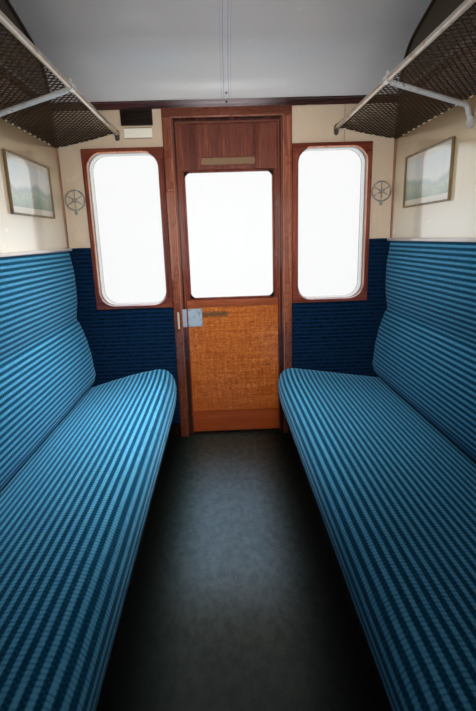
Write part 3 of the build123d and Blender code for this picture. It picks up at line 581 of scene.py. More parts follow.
@dataclass(frozen=True)
class TwoFaced:
    """A wall that is finished one way in the room and another way outside.

    The finish changes where |y| passes the change, and lines are the heights of the
    thin lines that the outside carries.
    """

    name: str
    room: Enamel | Varnish
    outside: Enamel
    change: float
    lining: Colour
    lines: tuple[float, ...] = ()
    seam: float = 0.001
    line_width: float = 0.006
    line_edge: float = 0.0008
    dust: Colour = paint(96, 84, 72)
    dusty: tuple[float, float] = (0.75, 0.2)

    def build(self) -> bpy.types.Material:
        """Make the material.

        Returns:
            The material.
        """
        shader = Shader(self.name)
        if isinstance(self.room, Varnish):
            room = self.room.tinted(shader, self.room.board(shader))
        else:
            room = self.room.base(shader)
        paintwork = self.outside.base(shader)
        for level in self.lines:
            off = shader.maths("ABSOLUTE", shader.maths("SUBTRACT", shader.z, level))
            stripe = shader.step(off, self.line_width / 2 + self.line_edge, self.line_width / 2)
            paintwork = shader.mix(stripe, paintwork, self.lining)
        dust = shader.maths(
            "MULTIPLY", shader.step(shader.z, *self.dusty), shader.noise(11, 5, 0.6)
        )
        paintwork = shader.mix(dust, paintwork, self.dust)
        depth = shader.maths("ABSOLUTE", shader.y)
        beyond = shader.step(depth, self.change, self.change + self.seam)
        colour = shader.mix(beyond, room, paintwork)
        return self.outside.coated(shader, colour)


@dataclass(frozen=True)
class Moquette:
    """Striped cut-pile upholstery cloth with fine ticks along the stripes."""

    name: str
    light: Colour
    blue: Colour
    dark: Colour
    tick: Colour
    moss: Colour
    pitch: float = 0.0238
    rib: float = 0.0111
    stripe: float = 0.5
    dots: float = 0.5
    gaps: float = 0.7
    wear: float = 0.25
    sheen: float = 0.3
    sheen_tint: Colour = paint(128, 186, 222)

    def build(
        self, across: Callable[[Shader], Socket], along: Callable[[Shader], Socket]
    ) -> bpy.types.Material:
        """Make the material: bands across the cloth, broken by staggered ticks along it.

        Args:
            across: Gives the distance across the stripes.
            along: Gives the distance along them.

        Returns:
            The material.
        """
        shader = Shader(self.name)
        wave = shader.maths("SUBTRACT", shader.noise(9, 2, 0.5), 0.5)
        place = shader.maths("ADD", across(shader), shader.maths("MULTIPLY", wave, 0.0025))
        count = shader.maths("DIVIDE", place, self.pitch)
        off = self.turned(shader, count)
        run = shader.maths("DIVIDE", along(shader), self.rib)
        odd = shader.maths("MODULO", shader.maths("FLOOR", count), 2.0)
        tuft_off = self.turned(shader, shader.maths("ADD", run, shader.maths("MULTIPLY", odd, 0.5)))
        ragged = shader.maths("MULTIPLY_ADD", shader.maths("SUBTRACT", tuft_off, 0.5), 0.1, off)
        pile = shader.noise(700, 2, 0.6)
        ragged = shader.maths("MULTIPLY_ADD", shader.maths("SUBTRACT", pile, 0.5), 0.35, ragged)
        low, high = self.stripe - 0.2, self.stripe + 0.2
        band = shader.ramp(
            ragged,
            (0.0, self.light),
            (low, self.light),
            (self.stripe, self.blue),
            (high, self.dark),
            (1.0, self.dark),
        )
        clouds = shader.step(shader.noise(26, 4, 0.65), 0.45, 0.75)
        band = shader.mix(shader.maths("MULTIPLY", clouds, self.wear), band, self.blue)
        worn = shader.step(shader.noise(60, 3, 0.7), 0.3, 0.65)
        in_dark = shader.step(off, self.stripe, 0.85)
        in_light = shader.step(off, self.stripe + 0.1, 0.2)
        rows = shader.both(shader.step(tuft_off, 0.6, 0.3), in_dark, worn)
        band = shader.mix(shader.maths("MULTIPLY", rows, self.dots), band, self.tick)
        gaps = shader.both(shader.step(tuft_off, 0.45, 0.8), in_light, worn)
        band = shader.mix(shader.maths("MULTIPLY", gaps, self.gaps), band, self.blue)
        flecks = shader.step(shader.noise(120, 3, 0.6), 0.52, 0.7)
        green = shader.both(flecks, shader.step(off, 0.55, 0.9))
        band = shader.mix(shader.maths("MULTIPLY", green, 0.6), band, self.moss)
        shade = shader.ramp(pile, (0.25, (0.45,) * 3), (0.7, (1,) * 3))
        colour = shader.mix(0.55, band, shader.mix(1.0, band, shade, "MULTIPLY"))
        shader.bump(shader.noise(1300, 1, 0.5), 0.0006, 0.7)
        shader.bump(shader.maths("SUBTRACT", 1.0, off), 0.0007, 0.5)
        shader.bump(shader.maths("MULTIPLY", tuft_off, 0.5), 0.0004, 0.4)
        return shader.finish(
            colour,
            0.9,
            Sheen_Weight=self.sheen,
            Sheen_Roughness=0.4,
            Sheen_Tint=self.sheen_tint,
            Specular_IOR_Level=0.1,
        )

    @staticmethod
    def turned(shader: Shader, count: Socket) -> Socket:
        """Distance from the middle of the nearest repeat.

        Args:
            shader: The material.
            count: Number of repeats run so far.

        Returns:
            0 in the middle of a repeat and 1 between two.
        """
        part = shader.maths("SUBTRACT", shader.maths("FRACT", count), 0.5)
        return shader.maths("MULTIPLY", shader.maths("ABSOLUTE", part), 2.0)


@dataclass(frozen=True)
class Metal:
    """Plated or bare metal with rubbed places and fine scratches."""

    name: str
    colour: Colour
    tarnish: Colour
    rough: float = 0.3
    metallic: float = 0.9
    scratch: Grain = Grain.UPRIGHT
    wear: float = 1.0
    patches: tuple[Patch, ...] = ()

    def build(self) -> bpy.types.Material:
        """Make the material.

        Returns:
            The material.
        """
        shader = Shader(self.name)
        tarnished = shader.step(shader.noise(24, 5 * self.wear, 0.65), 0.48, 0.75)
        colour = shader.mix(tarnished, self.colour, self.tarnish)
        colour = patched(shader, colour, self.patches)
        lines = shader.noise(260, 2, 0.6, self.scratch.value)
        shader.bump(lines, 0.0001, 0.3 * self.wear)
        smooth, rubbed = self.rough - 0.08 * self.wear, self.rough + 0.2 * self.wear
        rough = shader.blend(shader.noise(40, 4, 0.6), smooth, rubbed)
        return shader.finish(colour, rough, Metallic=self.metallic, Specular_IOR_Level=0.5)


@dataclass(frozen=True)
class Lino:
    """Worn floor covering with a polished path down its middle, paler and bluish there as wear and
    a painted reflection of the far windows, and darkened at its edges by dirt and painted shade
    under the seats.
    """

    name: str = "worn_lino"
    colour: Colour = paint(26, 38, 34)
    pale: Colour = paint(62, 88, 104)
    dirt_and_shade: Colour = paint(3, 5, 4)
    scuff: Colour = paint(92, 108, 120)
    aisle_x: float = -0.05

    def build(self) -> bpy.types.Material:
        """Make the material.

        Returns:
            The material.
        """
        shader = Shader(self.name)
        marble = shader.noise(34, 6, 0.75, (1, 0.7, 1))
        scuffs = shader.noise(70, 4, 0.7, (1, 0.2, 1), 0.3)
        path = shader.maths("ABSOLUTE", shader.maths("SUBTRACT", shader.x, self.aisle_x))
        middle = shader.both(
            shader.step(path, 0.34, 0.08),
            shader.step(shader.y, -0.12, 0.25),
            shader.step(shader.y, 1.2, 0.45),
        )
        mottle = shader.blend(marble, 0.4, 1.25)
        # The pale middle is partly wear and partly a painted reflection of the far windows.
        colour = shader.mix(shader.maths("MULTIPLY", middle, mottle), self.colour, self.pale)
        chips = shader.both(shader.step(shader.noise(150, 3, 0.7, (1, 0.5, 1)), 0.58, 0.72), middle)
        colour = shader.mix(shader.maths("MULTIPLY", chips, 0.5), colour, self.scuff)
        colour = shader.mix(
            shader.both(shader.step(scuffs, 0.58, 0.85), middle), colour, self.scuff
        )
        # Dirt and painted shade darken the floor towards the seats.
        edge = shader.step(path, 0.1, 0.35)
        colour = shader.mix(shader.maths("MULTIPLY", edge, 0.9), colour, self.dirt_and_shade)
        shader.bump(shader.noise(120, 4, 0.6), 0.0005, 0.5)
        shader.bump(shader.noise(5, 2, 0.4), 0.002, 0.3)
        rough = shader.blend(edge, 0.3, 0.6)
        polish = shader.both(
            shader.step(path, 0.37, 0.12),
            shader.blend(shader.step(shader.y, -0.35, 0.3), 0.4, 1.05),
            shader.blend(shader.step(marble, 0.36, 0.62), 0.5, 1.0),
        )
        return shader.finish(
            colour,
            rough,
            Specular_IOR_Level=0.15,
            Coat_Weight=polish,
            Coat_Roughness=0.36,
            Coat_IOR=1.6,
        )


@dataclass(frozen=True)
class Pane:
    """Window glass with a cloudy film of dust."""

    name: str = "window_pane"
    tint: Colour = paint(206, 222, 218)
    dust: Colour = paint(232, 234, 228)

    def build(self) -> bpy.types.Material:
        """Make the material.

        Returns:
            The material.
        """
        shader = Shader(self.name)
        film = shader.noise(6, 4, 0.6)
        colour = shader.mix(shader.step(film, 0.4, 0.8), self.tint, self.dust)
        rough = shader.blend(film, 0.02, 0.08)
        return shader.finish(colour, rough, IOR=1.5, Alpha=shader.blend(film, 0.03, 0.07))


@dataclass(frozen=True)
class Print:
    """A generic glazed print: pale sky over soft hills inside a plain mount."""

    name: str = "glazed_print"
    field: Colour = paint(150, 172, 152)
    slopes: Colour = paint(196, 210, 188)
    ridge: Colour = paint(176, 196, 194)
    haze: Colour = paint(240, 244, 238)
    sky: Colour = paint(222, 232, 232)
    trees: Colour = paint(150, 172, 160)
    streaks: Colour = paint(170, 184, 194)
    mount: Colour = paint(226, 222, 206)
    glazing: float = 2.6

    def build(self) -> bpy.types.Material:
        """Make the material.

        Returns:
            The material.
        """
        shader = Shader(self.name)
        low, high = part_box("picture_panels")
        height = shader.maths("DIVIDE", shader.maths("SUBTRACT", shader.z, low.z), high.z - low.z)
        hills = shader.maths("SUBTRACT", shader.noise(4.5, 3, 0.5, (1, 1, 0.2)), 0.5)
        slope = shader.maths("ADD", height, shader.maths("MULTIPLY", hills, 0.55))
        view = shader.ramp(
            slope,
            (0.16, self.field),
            (0.36, self.slopes),
            (0.46, self.ridge),
            (0.56, self.haze),
            (0.9, self.sky),
        )
        under = shader.step(slope, 0.46, 0.34)
        leaves = shader.step(shader.noise(70, 4, 0.7), 0.45, 0.7)
        view = shader.mix(shader.maths("MULTIPLY", leaves, under), view, self.trees)
        streak = shader.step(shader.noise(9, 3, 0.6, (1, 1, 0.15)), 0.55, 0.75)
        view = shader.mix(shader.maths("MULTIPLY", streak, 0.5), view, self.streaks)
        rim = shader.maths("ABSOLUTE", shader.maths("SUBTRACT", height, 0.5))
        colour = shader.mix(shader.step(rim, 0.385, 0.39), view, self.mount)
        return shader.finish(
            colour,
            0.35,
            Coat_Weight=1.0,
            Coat_Roughness=0.02,
            Coat_IOR=self.glazing,
            Specular_IOR_Level=0.4,
        )


class Mould:
    """A mesh in the making, from tubes, bars and turned forms."""

    def __init__(self) -> None:
        """Start with an empty mesh."""
        self.bm = bmesh.new()

    def ring(
        self, centre: Vector, along: Vector, up: Vector, radius: float, sides: int
    ) -> list[bmesh.types.BMVert]:
        """Circle of vertices square to a direction.

        Args:
            centre: Its centre.
            along: The direction.
            up: Which way is up round the circle.
            radius: Its radius.
            sides: Number of vertices.

        Returns:
            The vertices, in order.
        """
        side = along.cross(up).normalized()
        top = side.cross(along).normalized()
        turns = (math.tau * (i + 0.5) / sides for i in range(sides))
        spokes = (math.cos(turn) * side + math.sin(turn) * top for turn in turns)
        return [self.bm.verts.new(centre + radius * spoke) for spoke in spokes]

    def bridge(self, first: list[bmesh.types.BMVert], second: list[bmesh.types.BMVert]) -> None:
        """Faces between two rings of as many vertices.

        Args:
            first: One ring.
            second: The other.
        """
        count = len(first)
        for i in range(count):
            beside = (i + 1) % count
            self.bm.faces.new((first[i], first[beside], second[beside], second[i]))

    @staticmethod
    def upward(along: Vector) -> Vector:
        """Direction that counts as up round a line, which is Y for an upright one."""
        return Vector((0, 0, 1)) if abs(along.z) < 0.9 else Vector((0, 1, 0))

    def tube(
        self,
        points: Iterable[Sequence[float]],
        radius: float,
        sides: int = 10,
        closed: bool = False,
    ) -> None:
        """Round bar along a line of points.

        Args:
            points: Centre line.
            radius: Radius of the bar.
            sides: Flats round the bar.
            closed: Whether the line runs back to its start.
        """
        line = [Vector(p) for p in points]
        count = len(line)
        rings = []
        for i, point in enumerate(line):
            ahead = line[(i + 1) % count] if closed or i + 1 < count else point
            behind = line[i - 1] if closed or i else point
            along = (ahead - behind).normalized()
            rings.append(self.ring(point, along, self.upward(along), radius, sides))
        for first, second in zip(rings, rings[1:]):
            self.bridge(first, second)
        if closed:
            self.bridge(rings[-1], rings[0])
        else:
            self.bm.faces.new(list(reversed(rings[0])))
            self.bm.faces.new(rings[-1])

    def block(self, low: Sequence[float], high: Sequence[float], ease: float = 0.0) -> None:
        """Bar between two corners, with its edges eased.

        Args:
            low: Lowest corner.
            high: Highest corner.
            ease: Width of the bevel on every edge.
        """
        made = bmesh.ops.create_cube(self.bm, size=1.0)["verts"]
        middle, size = (Vector(low) + Vector(high)) / 2, Vector(high) - Vector(low)
        for vert in made:
            vert.co = middle + vert.co * size
        if ease:
            edges = list({edge for vert in made for edge in vert.link_edges})
            shape = {"segments": 2, "profile": 0.6, "affect": "EDGES"}
            bmesh.ops.bevel(self.bm, geom=edges, offset=ease, **shape)

    def turned(
        self,
        centre: Sequence[float],
        axis: Sequence[float],
        profile: Sequence[tuple[float, float]],
        sides: int,
    ) -> None:
        """Turned form about an axis.

        Args:
            centre: Where the profile starts.
            axis: Direction that the profile runs in.
            profile: Pairs of distance along the axis and radius.
            sides: Flats round the form.
        """
        start, along = Vector(centre), Vector(axis).normalized()
        up = self.upward(along)
        rings = [self.ring(start + along * d, along, up, r, sides) for d, r in profile]
        for first, second in zip(rings, rings[1:]):
            self.bridge(first, second)
        self.bm.faces.new(list(reversed(rings[0])))
        self.bm.faces.new(rings[-1])

    def piece(
        self, name: str, material: bpy.types.Material, body: str = BODY, smooth: bool = True
    ) -> bpy.types.Object:
        """Turn the mesh into a piece that rides on a body.

        Args:
            name: Name of the piece.
            material: Its finish.
            body: The body that it rides on.
            smooth: Whether its shading is smooth.

        Returns:
            The piece.
        """
        bmesh.ops.recalc_face_normals(self.bm, faces=self.bm.faces)
        mesh = bpy.data.meshes.new(name)
        self.bm.to_mesh(mesh)
        self.bm.free()
        return place_mesh(mesh, name, material, body, smooth)


def place_mesh(
    mesh: bpy.types.Mesh, name: str, material: bpy.types.Material, body: str, smooth: bool
) -> bpy.types.Object:
    """Link a mesh as a piece with one material, riding on a body.

    Args:
        mesh: The mesh.
        name: Name of the piece.
        material: Its finish.
        body: The body that it rides on.
        smooth: Whether its shading is smooth.

    Returns:
        The piece.
    """
    mesh.materials.clear()
    mesh.materials.append(material)
    mesh.polygons.foreach_set("use_smooth", [smooth] * len(mesh.polygons))
    piece = bpy.data.objects.new(name, mesh)
    bpy.context.scene.collection.objects.link(piece)
    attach(piece, body)
    log.info("%s: %d faces", name, len(mesh.polygons))
    return piece


def dress(node: str, material: bpy.types.Material, ease: Ease = Ease.NONE) -> None:
    """Give a CAD node its finish and, where asked, eased edges.

    Args:
        node: The node.
        material: Its finish.
        ease: How far a modifier bevels its sharp edges.
    """
    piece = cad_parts[node]
    piece.data.materials.clear()
    piece.data.materials.append(material)
    if ease is not Ease.NONE:
        weld = piece.modifiers.new("weld", "WELD")
        weld.merge_threshold = DRESS_WELD
        bevel = piece.modifiers.new("ease", "BEVEL")
        bevel.width = ease.value
        bevel.segments = 2
        bevel.limit_method = "ANGLE"
        bevel.angle_limit = math.radians(35)
        bevel.harden_normals = False
        normals = piece.modifiers.new("normals", "WEIGHTED_NORMAL")
        normals.keep_sharp = True
    log.info("%s dressed in %s", node, material.name)


def inner_face(node: str) -> float:
    """Distance from the middle of the carriage to the inner face of a node at its side."""
    low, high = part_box(node)
    return min(abs(low.y), abs(high.y))


def rounded(
    low: tuple[float, float], high: tuple[float, float], radius: float, steps: int = 8
) -> list[tuple[float, float]]:
    """Outline of a rectangle with round corners, as a closed run of points.

    Args:
        low: Its lower left corner.
        high: Its upper right corner.
        radius: Radius of the corners.
        steps: Steps round each of them.

    Returns:
        The points.
    """
    corners = [
        (high[0] - radius, high[1] - radius, 0),
        (low[0] + radius, high[1] - radius, 1),
        (low[0] + radius, low[1] + radius, 2),
        (high[0] - radius, low[1] + radius, 3),
    ]
    points = []
    for cx, cz, quarter in corners:
        for i in range(steps + 1):
            turn = math.pi / 2 * (quarter + i / steps)
            points.append((cx + radius * math.cos(turn), cz + radius * math.sin(turn)))
    return points


@dataclass
class Upholstery:
    """A long pad whose cloth is blown out a little over its CAD solid.

    The outline is its section, from its rear over its face to its underside. Lift is
    the height of the puff along its crown, dome that of a second one behind the crown,
    drop how far its ends sink, bow how far its nose bends in near the ends, roll how
    far its end faces round over, tuck what its top hides under the shelf, and waist
    the height of the crease across a seat back.
    """

    node: str
    outline: list[tuple[float, float]]
    cloth: bpy.types.Material
    shrink: float = 0.006
    voxel: float = 0.016
    frames: int = 20
    cap: float = 0.009
    pressure: float = 4.0
    fill: float = 0.8
    lift: float = 0.0
    tuck: float = 0.0
    bow: float = 0.0
    bow_length: float = 0.4
    roll: float = 0.0
    roll_length: float = 0.045
    drop: float = 0.0
    drop_length: float = 0.06
    dome: float = 0.0
    waist: float = 0.0
    crease: float = 0.006
    crease_width: float = 0.02
    quality: int = 4
    smoothing: int = 3
    puff_depth: float = 0.16
    puff_fade: float = 0.15
    end_share: float = 0.75
    end_length: float = 0.05

    def body_mesh(self) -> bpy.types.Object:
        """Copy of the CAD solid, drawn in a little and remeshed evenly.

        Returns:
            The copy, as an object of its own.
        """
        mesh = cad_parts[self.node].data.copy()
        work = bpy.data.objects.new(self.node + "_cloth", mesh)
        bpy.context.scene.collection.objects.link(work)
        bm = bmesh.new()
        bm.from_mesh(mesh)
        bmesh.ops.remove_doubles(bm, verts=bm.verts, dist=WELD)
        bm.normal_update()
        bm.to_mesh(mesh)
        bm.free()
        remesh = work.modifiers.new("remesh", "REMESH")
        remesh.mode = "VOXEL"
        remesh.voxel_size = self.voxel
        self.apply(work)
        bm = bmesh.new()
        bm.from_mesh(work.data)
        axes = {"use_axis_x": True, "use_axis_y": True, "use_axis_z": True}
        for _ in range(self.smoothing):
            bmesh.ops.smooth_vert(bm, verts=bm.verts, factor=0.5, **axes)
        bm.normal_update()
        for vert in bm.verts:
            vert.co -= vert.normal * self.shrink
        bm.to_mesh(work.data)
        bm.free()
        return work

    @staticmethod
    def apply(work: bpy.types.Object) -> None:
        """Replace a piece's mesh by what its modifiers make of it.

        Args:
            work: The piece.
        """
        seen = bpy.context.evaluated_depsgraph_get()
        seen.update()
        mesh = bpy.data.meshes.new_from_object(work.evaluated_get(seen))
        work.modifiers.clear()
        work.data = mesh

    @staticmethod
    def points_of(mesh: bpy.types.Mesh) -> np.ndarray:
        """Places of a mesh's vertices, one row each."""
        return np.array([v.co for v in mesh.vertices], float)

    @staticmethod
    def move(mesh: bpy.types.Mesh, points: np.ndarray) -> None:
        """Put a mesh's vertices in new places."""
        mesh.vertices.foreach_set("co", points.astype(np.float32).ravel())

    def blow(self, work: bpy.types.Object) -> None:
        """Run the cloth with a little pressure and cap how far each point moves.

        Args:
            work: The pad.
        """
        rest = self.points_of(work.data)
        cloth = work.modifiers.new("cloth", "CLOTH")
        cloth.settings.use_pressure = True
        cloth.settings.uniform_pressure_force = self.pressure
        cloth.settings.effector_weights.gravity = 0
        cloth.settings.quality = self.quality
        cloth.point_cache.frame_start = 1
        cloth.point_cache.frame_end = self.frames
        scene = bpy.context.scene
        for number in range(1, self.frames + 1):
            scene.frame_set(number)
        self.apply(work)
        scene.frame_set(1)
        moved = self.points_of(work.data) - rest
        length = np.linalg.norm(moved, axis=1)
        share = np.minimum(1.0, self.cap / np.maximum(length, 1e-9))
        self.move(work.data, rest + moved * share[:, None])

    def refit(self, mesh: bpy.types.Mesh) -> None:
        """Stretch the pad back to its solid's box, which the cloth has drawn in from.

        Args:
            mesh: The pad's mesh.
        """
        low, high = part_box(self.node)
        points = self.points_of(mesh)
        now_low, now_high = points.min(axis=0), points.max(axis=0)
        goal_low, goal_high = np.array(low), np.array(high) + (0, 0, self.tuck)
        scale = (goal_high - goal_low) / (now_high - now_low)
        self.move(mesh, goal_low + (points - now_low) * scale)

    def soften_ends(self, mesh: bpy.types.Mesh) -> None:
        """Let the pad's ends roll away from its face, and crease a seat back at its waist.

        Args:
            mesh: The pad's mesh.
        """
        points = self.points_of(mesh)
        rear = self.outline[0][0]
        inset = HALF_WIDTH - np.abs(points[:, 1])
        bow = np.clip(1 - inset / self.bow_length, 0, 1) ** 2.2
        roll = np.clip(1 - inset / self.roll_length, 0, 1) ** 2
        depth = np.abs(points[:, 0] - rear)
        pull = self.bow * bow * np.clip(depth / depth.max(), 0, 1) + self.roll * roll
        if self.waist:
            level = (points[:, 2] - self.waist) / self.crease_width
            pull += self.crease * np.exp(-(level**2))
        away = np.minimum(pull, depth) * np.sign(points[:, 0] - rear)
        points[:, 0] -= away
        self.move(mesh, points)

    def raise_crown(self, mesh: bpy.types.Mesh) -> None:
        """Puff the top of the pad up along its crown, less towards its rear, nose and ends.

        Args:
            mesh: The pad's mesh.
        """
        points = self.points_of(mesh)
        crown_x, crown_z = self.outline[1]
        nose_x, rear_x = self.outline[5][0], self.outline[0][0]
        ahead = np.clip((points[:, 0] - crown_x) / (nose_x - crown_x), 0, 1)
        behind = np.clip((points[:, 0] - crown_x) / (rear_x - crown_x), 0, 1)
        high = np.clip((points[:, 2] - crown_z + self.puff_depth) / self.puff_fade, 0, 1)
        inset = HALF_WIDTH - np.abs(points[:, 1])
        along = self.end_share + (1 - self.end_share) * np.clip(inset / self.end_length, 0, 1)
        share = (1 - ahead**2) * (1 - behind**1.6) * high * along
        dip = np.clip(1 - inset / self.drop_length, 0, 1) ** 2 * high
        domed = np.sin(math.pi * behind) * high
        points[:, 2] += self.lift * share - self.drop * dip + self.dome * domed
        self.move(mesh, points)

    def across(self, mesh: bpy.types.Mesh) -> None:
        """Store each point's distance round the pad's section, for the stripes.

        Args:
            mesh: The pad's mesh.
        """
        points = self.points_of(mesh)[:, [0, 2]]
        line = np.array(self.outline, float)
        starts, legs = line[:-1], np.diff(line, axis=0)
        lengths = np.linalg.norm(legs, axis=1)
        runs = np.concatenate([[0.0], np.cumsum(lengths)])[:-1]
        best, found = np.full(len(points), 1e9), np.zeros(len(points))
        for start, leg, length, run in zip(starts, legs, lengths, runs):
            share = np.clip(((points - start) @ leg) / length**2, 0, 1)
            gap = np.linalg.norm(points - start - share[:, None] * leg, axis=1)
            nearer = gap < best
            best = np.where(nearer, gap, best)
            found = np.where(nearer, run + share * length, found)
        stripes = mesh.attributes.new("across", "FLOAT", "POINT")
        stripes.data.foreach_set("value", found.astype(np.float32))

    def build(self) -> bpy.types.Object:
        """Make the pad, which stands for its CAD node.

        Returns:
            The pad.
        """
        work = self.body_mesh()
        self.blow(work)
        divide = work.modifiers.new("divide", "SUBSURF")
        divide.levels = divide.render_levels = 1
        self.apply(work)
        mesh = work.data
        bpy.data.objects.remove(work)
        self.refit(mesh)
        self.across(mesh)
        self.soften_ends(mesh)
        self.raise_crown(mesh)
        piece = place_mesh(mesh, self.node + "_moquette", self.cloth, BODY, True)
        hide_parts(self.node)
        return piece


BLUES = dict(
    light=paint(90, 164, 200),
    blue=paint(16, 94, 140),
    dark=paint(0, 56, 80),
    tick=paint(36, 112, 150),
    moss=paint(3, 54, 42),
)


@dataclass
class Seating:
    """Both benches: striped cushions, sprung backs and the padded wall trim."""

    cushion_cloth: Moquette = Moquette("cushion_moquette", **BLUES, pitch=0.0275)
    back_cloth: Moquette = Moquette("back_moquette", **BLUES)
    # The wall trim's cloth is coloured much darker than the seats' as painted shade on the walls
    # under the windows.
    wall_cloth: Moquette = Moquette(
        "wall_moquette_painted_shade",
        light=paint(21, 50, 82),
        blue=paint(10, 32, 60),
        dark=paint(3, 14, 34),
        tick=paint(40, 74, 98),
        moss=paint(10, 34, 40),
        stripe=0.34,
        dots=0.6,
        wear=0.1,
        sheen=0.1,
    )
    crown_lifts: dict[str, float] = field(default_factory=lambda: {"left": 0.026, "right": 0.004})
    crown_domes: dict[str, float] = field(default_factory=lambda: {"left": 0.02, "right": 0.002})
    end_drops: dict[str, float] = field(default_factory=lambda: {"left": 0.018, "right": 0.026})

    @staticmethod
    def cushion_outline(end: float) -> list[tuple[float, float]]:
        """Section of a cushion from its rear over the crown and nose to its underside.

        Args:
            end: -1 for the left bench, 1 for the right one.

        Returns:
            Pairs of x and z.
        """
        low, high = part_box("left_seat_cushion" if end < 0 else "right_seat_cushion")
        nose, rear = (high.x, low.x) if end < 0 else (low.x, high.x)
        nose_set = (
            (0.085, 0.0),
            (0.05, 0.008),
            (0.02, 0.035),
            (0.004, 0.07),
            (0.0, 0.1),
            (0.004, 0.14),
            (0.015, 0.175),
            (0.04, high.z - low.z),
        )
        face = [(nose + end * back, high.z - down) for back, down in nose_set]
        return [(rear, low.z + 0.121), *face, (rear, low.z)]

    @staticmethod
    def back_outline(end: float) -> list[tuple[float, float]]:
        """Section of a seat back from its top down to its foot.

        Args:
            end: -1 for the left bench, 1 for the right one.

        Returns:
            Pairs of x and z.
        """
        proud_at = (
            (0.001, 1.194),
            (0.024, 1.19),
            (0.04, 1.1),
            (0.045, 1.01),
            (0.04, 0.9),
            (0.029, 0.8),
            (0.052, 0.72),
            (0.08, 0.64),
            (0.096, 0.55),
            (0.101, 0.48),
            (0.098, 0.43),
            (0.085, 0.39),
            (0.057, 0.366),
            (0.001, 0.366),
        )
        return [(end * (HALF_LENGTH - proud), FLOOR + z) for proud, z in proud_at]

    def build(self) -> None:
        """Make the pads and the trim."""

        def stored(shader: Shader) -> Socket:
            """Distance that a pad stores for its stripes."""
            return shader.add("ShaderNodeAttribute", attribute_name="across").outputs["Fac"]

        seat = self.cushion_cloth.build(stored, lambda shader: shader.y)
        back = self.back_cloth.build(stored, lambda shader: shader.y)
        for name, end in ENDS.items():
            Upholstery(
                f"{name}_seat_cushion",
                self.cushion_outline(end),
                seat,
                lift=self.crown_lifts[name],
                bow=0.028,
                drop=self.end_drops[name],
                dome=self.crown_domes[name],
            ).build()
            Upholstery(
                f"{name}_seat_back",
                self.back_outline(end),
                back,
                cap=0.007,
                tuck=0.008,
                roll=0.009,
                waist=FLOOR + 0.8,
            ).build()
        wall = self.wall_cloth.build(lambda shader: shader.z, lambda shader: shader.x)
        self.trim(wall)

    @staticmethod
    def trim(cloth: bpy.types.Material) -> None:
        """Padded panels beside and under the windows, eased at their edges.

        Args:
            cloth: Their cloth.
        """
        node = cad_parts["side_trim_pads"]
        mesh = node.data.copy()
        bm = bmesh.new()
        bm.from_mesh(mesh)
        bmesh.ops.remove_doubles(bm, verts=bm.verts, dist=WELD)
        flat, sharp, round_over = 0.01, 0.8, 0.005
        bmesh.ops.dissolve_limit(bm, angle_limit=flat, verts=bm.verts, edges=bm.edges)
        edges = [e for e in bm.edges if len(e.link_faces) == 2 and e.calc_face_angle() > sharp]
        bmesh.ops.bevel(bm, geom=edges, offset=round_over, segments=3, profile=0.5, affect="EDGES")
        bm.to_mesh(mesh)
        bm.free()
        piece = place_mesh(mesh, "side_trim_moquette", cloth, BODY, False)
        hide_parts("side_trim_pads")


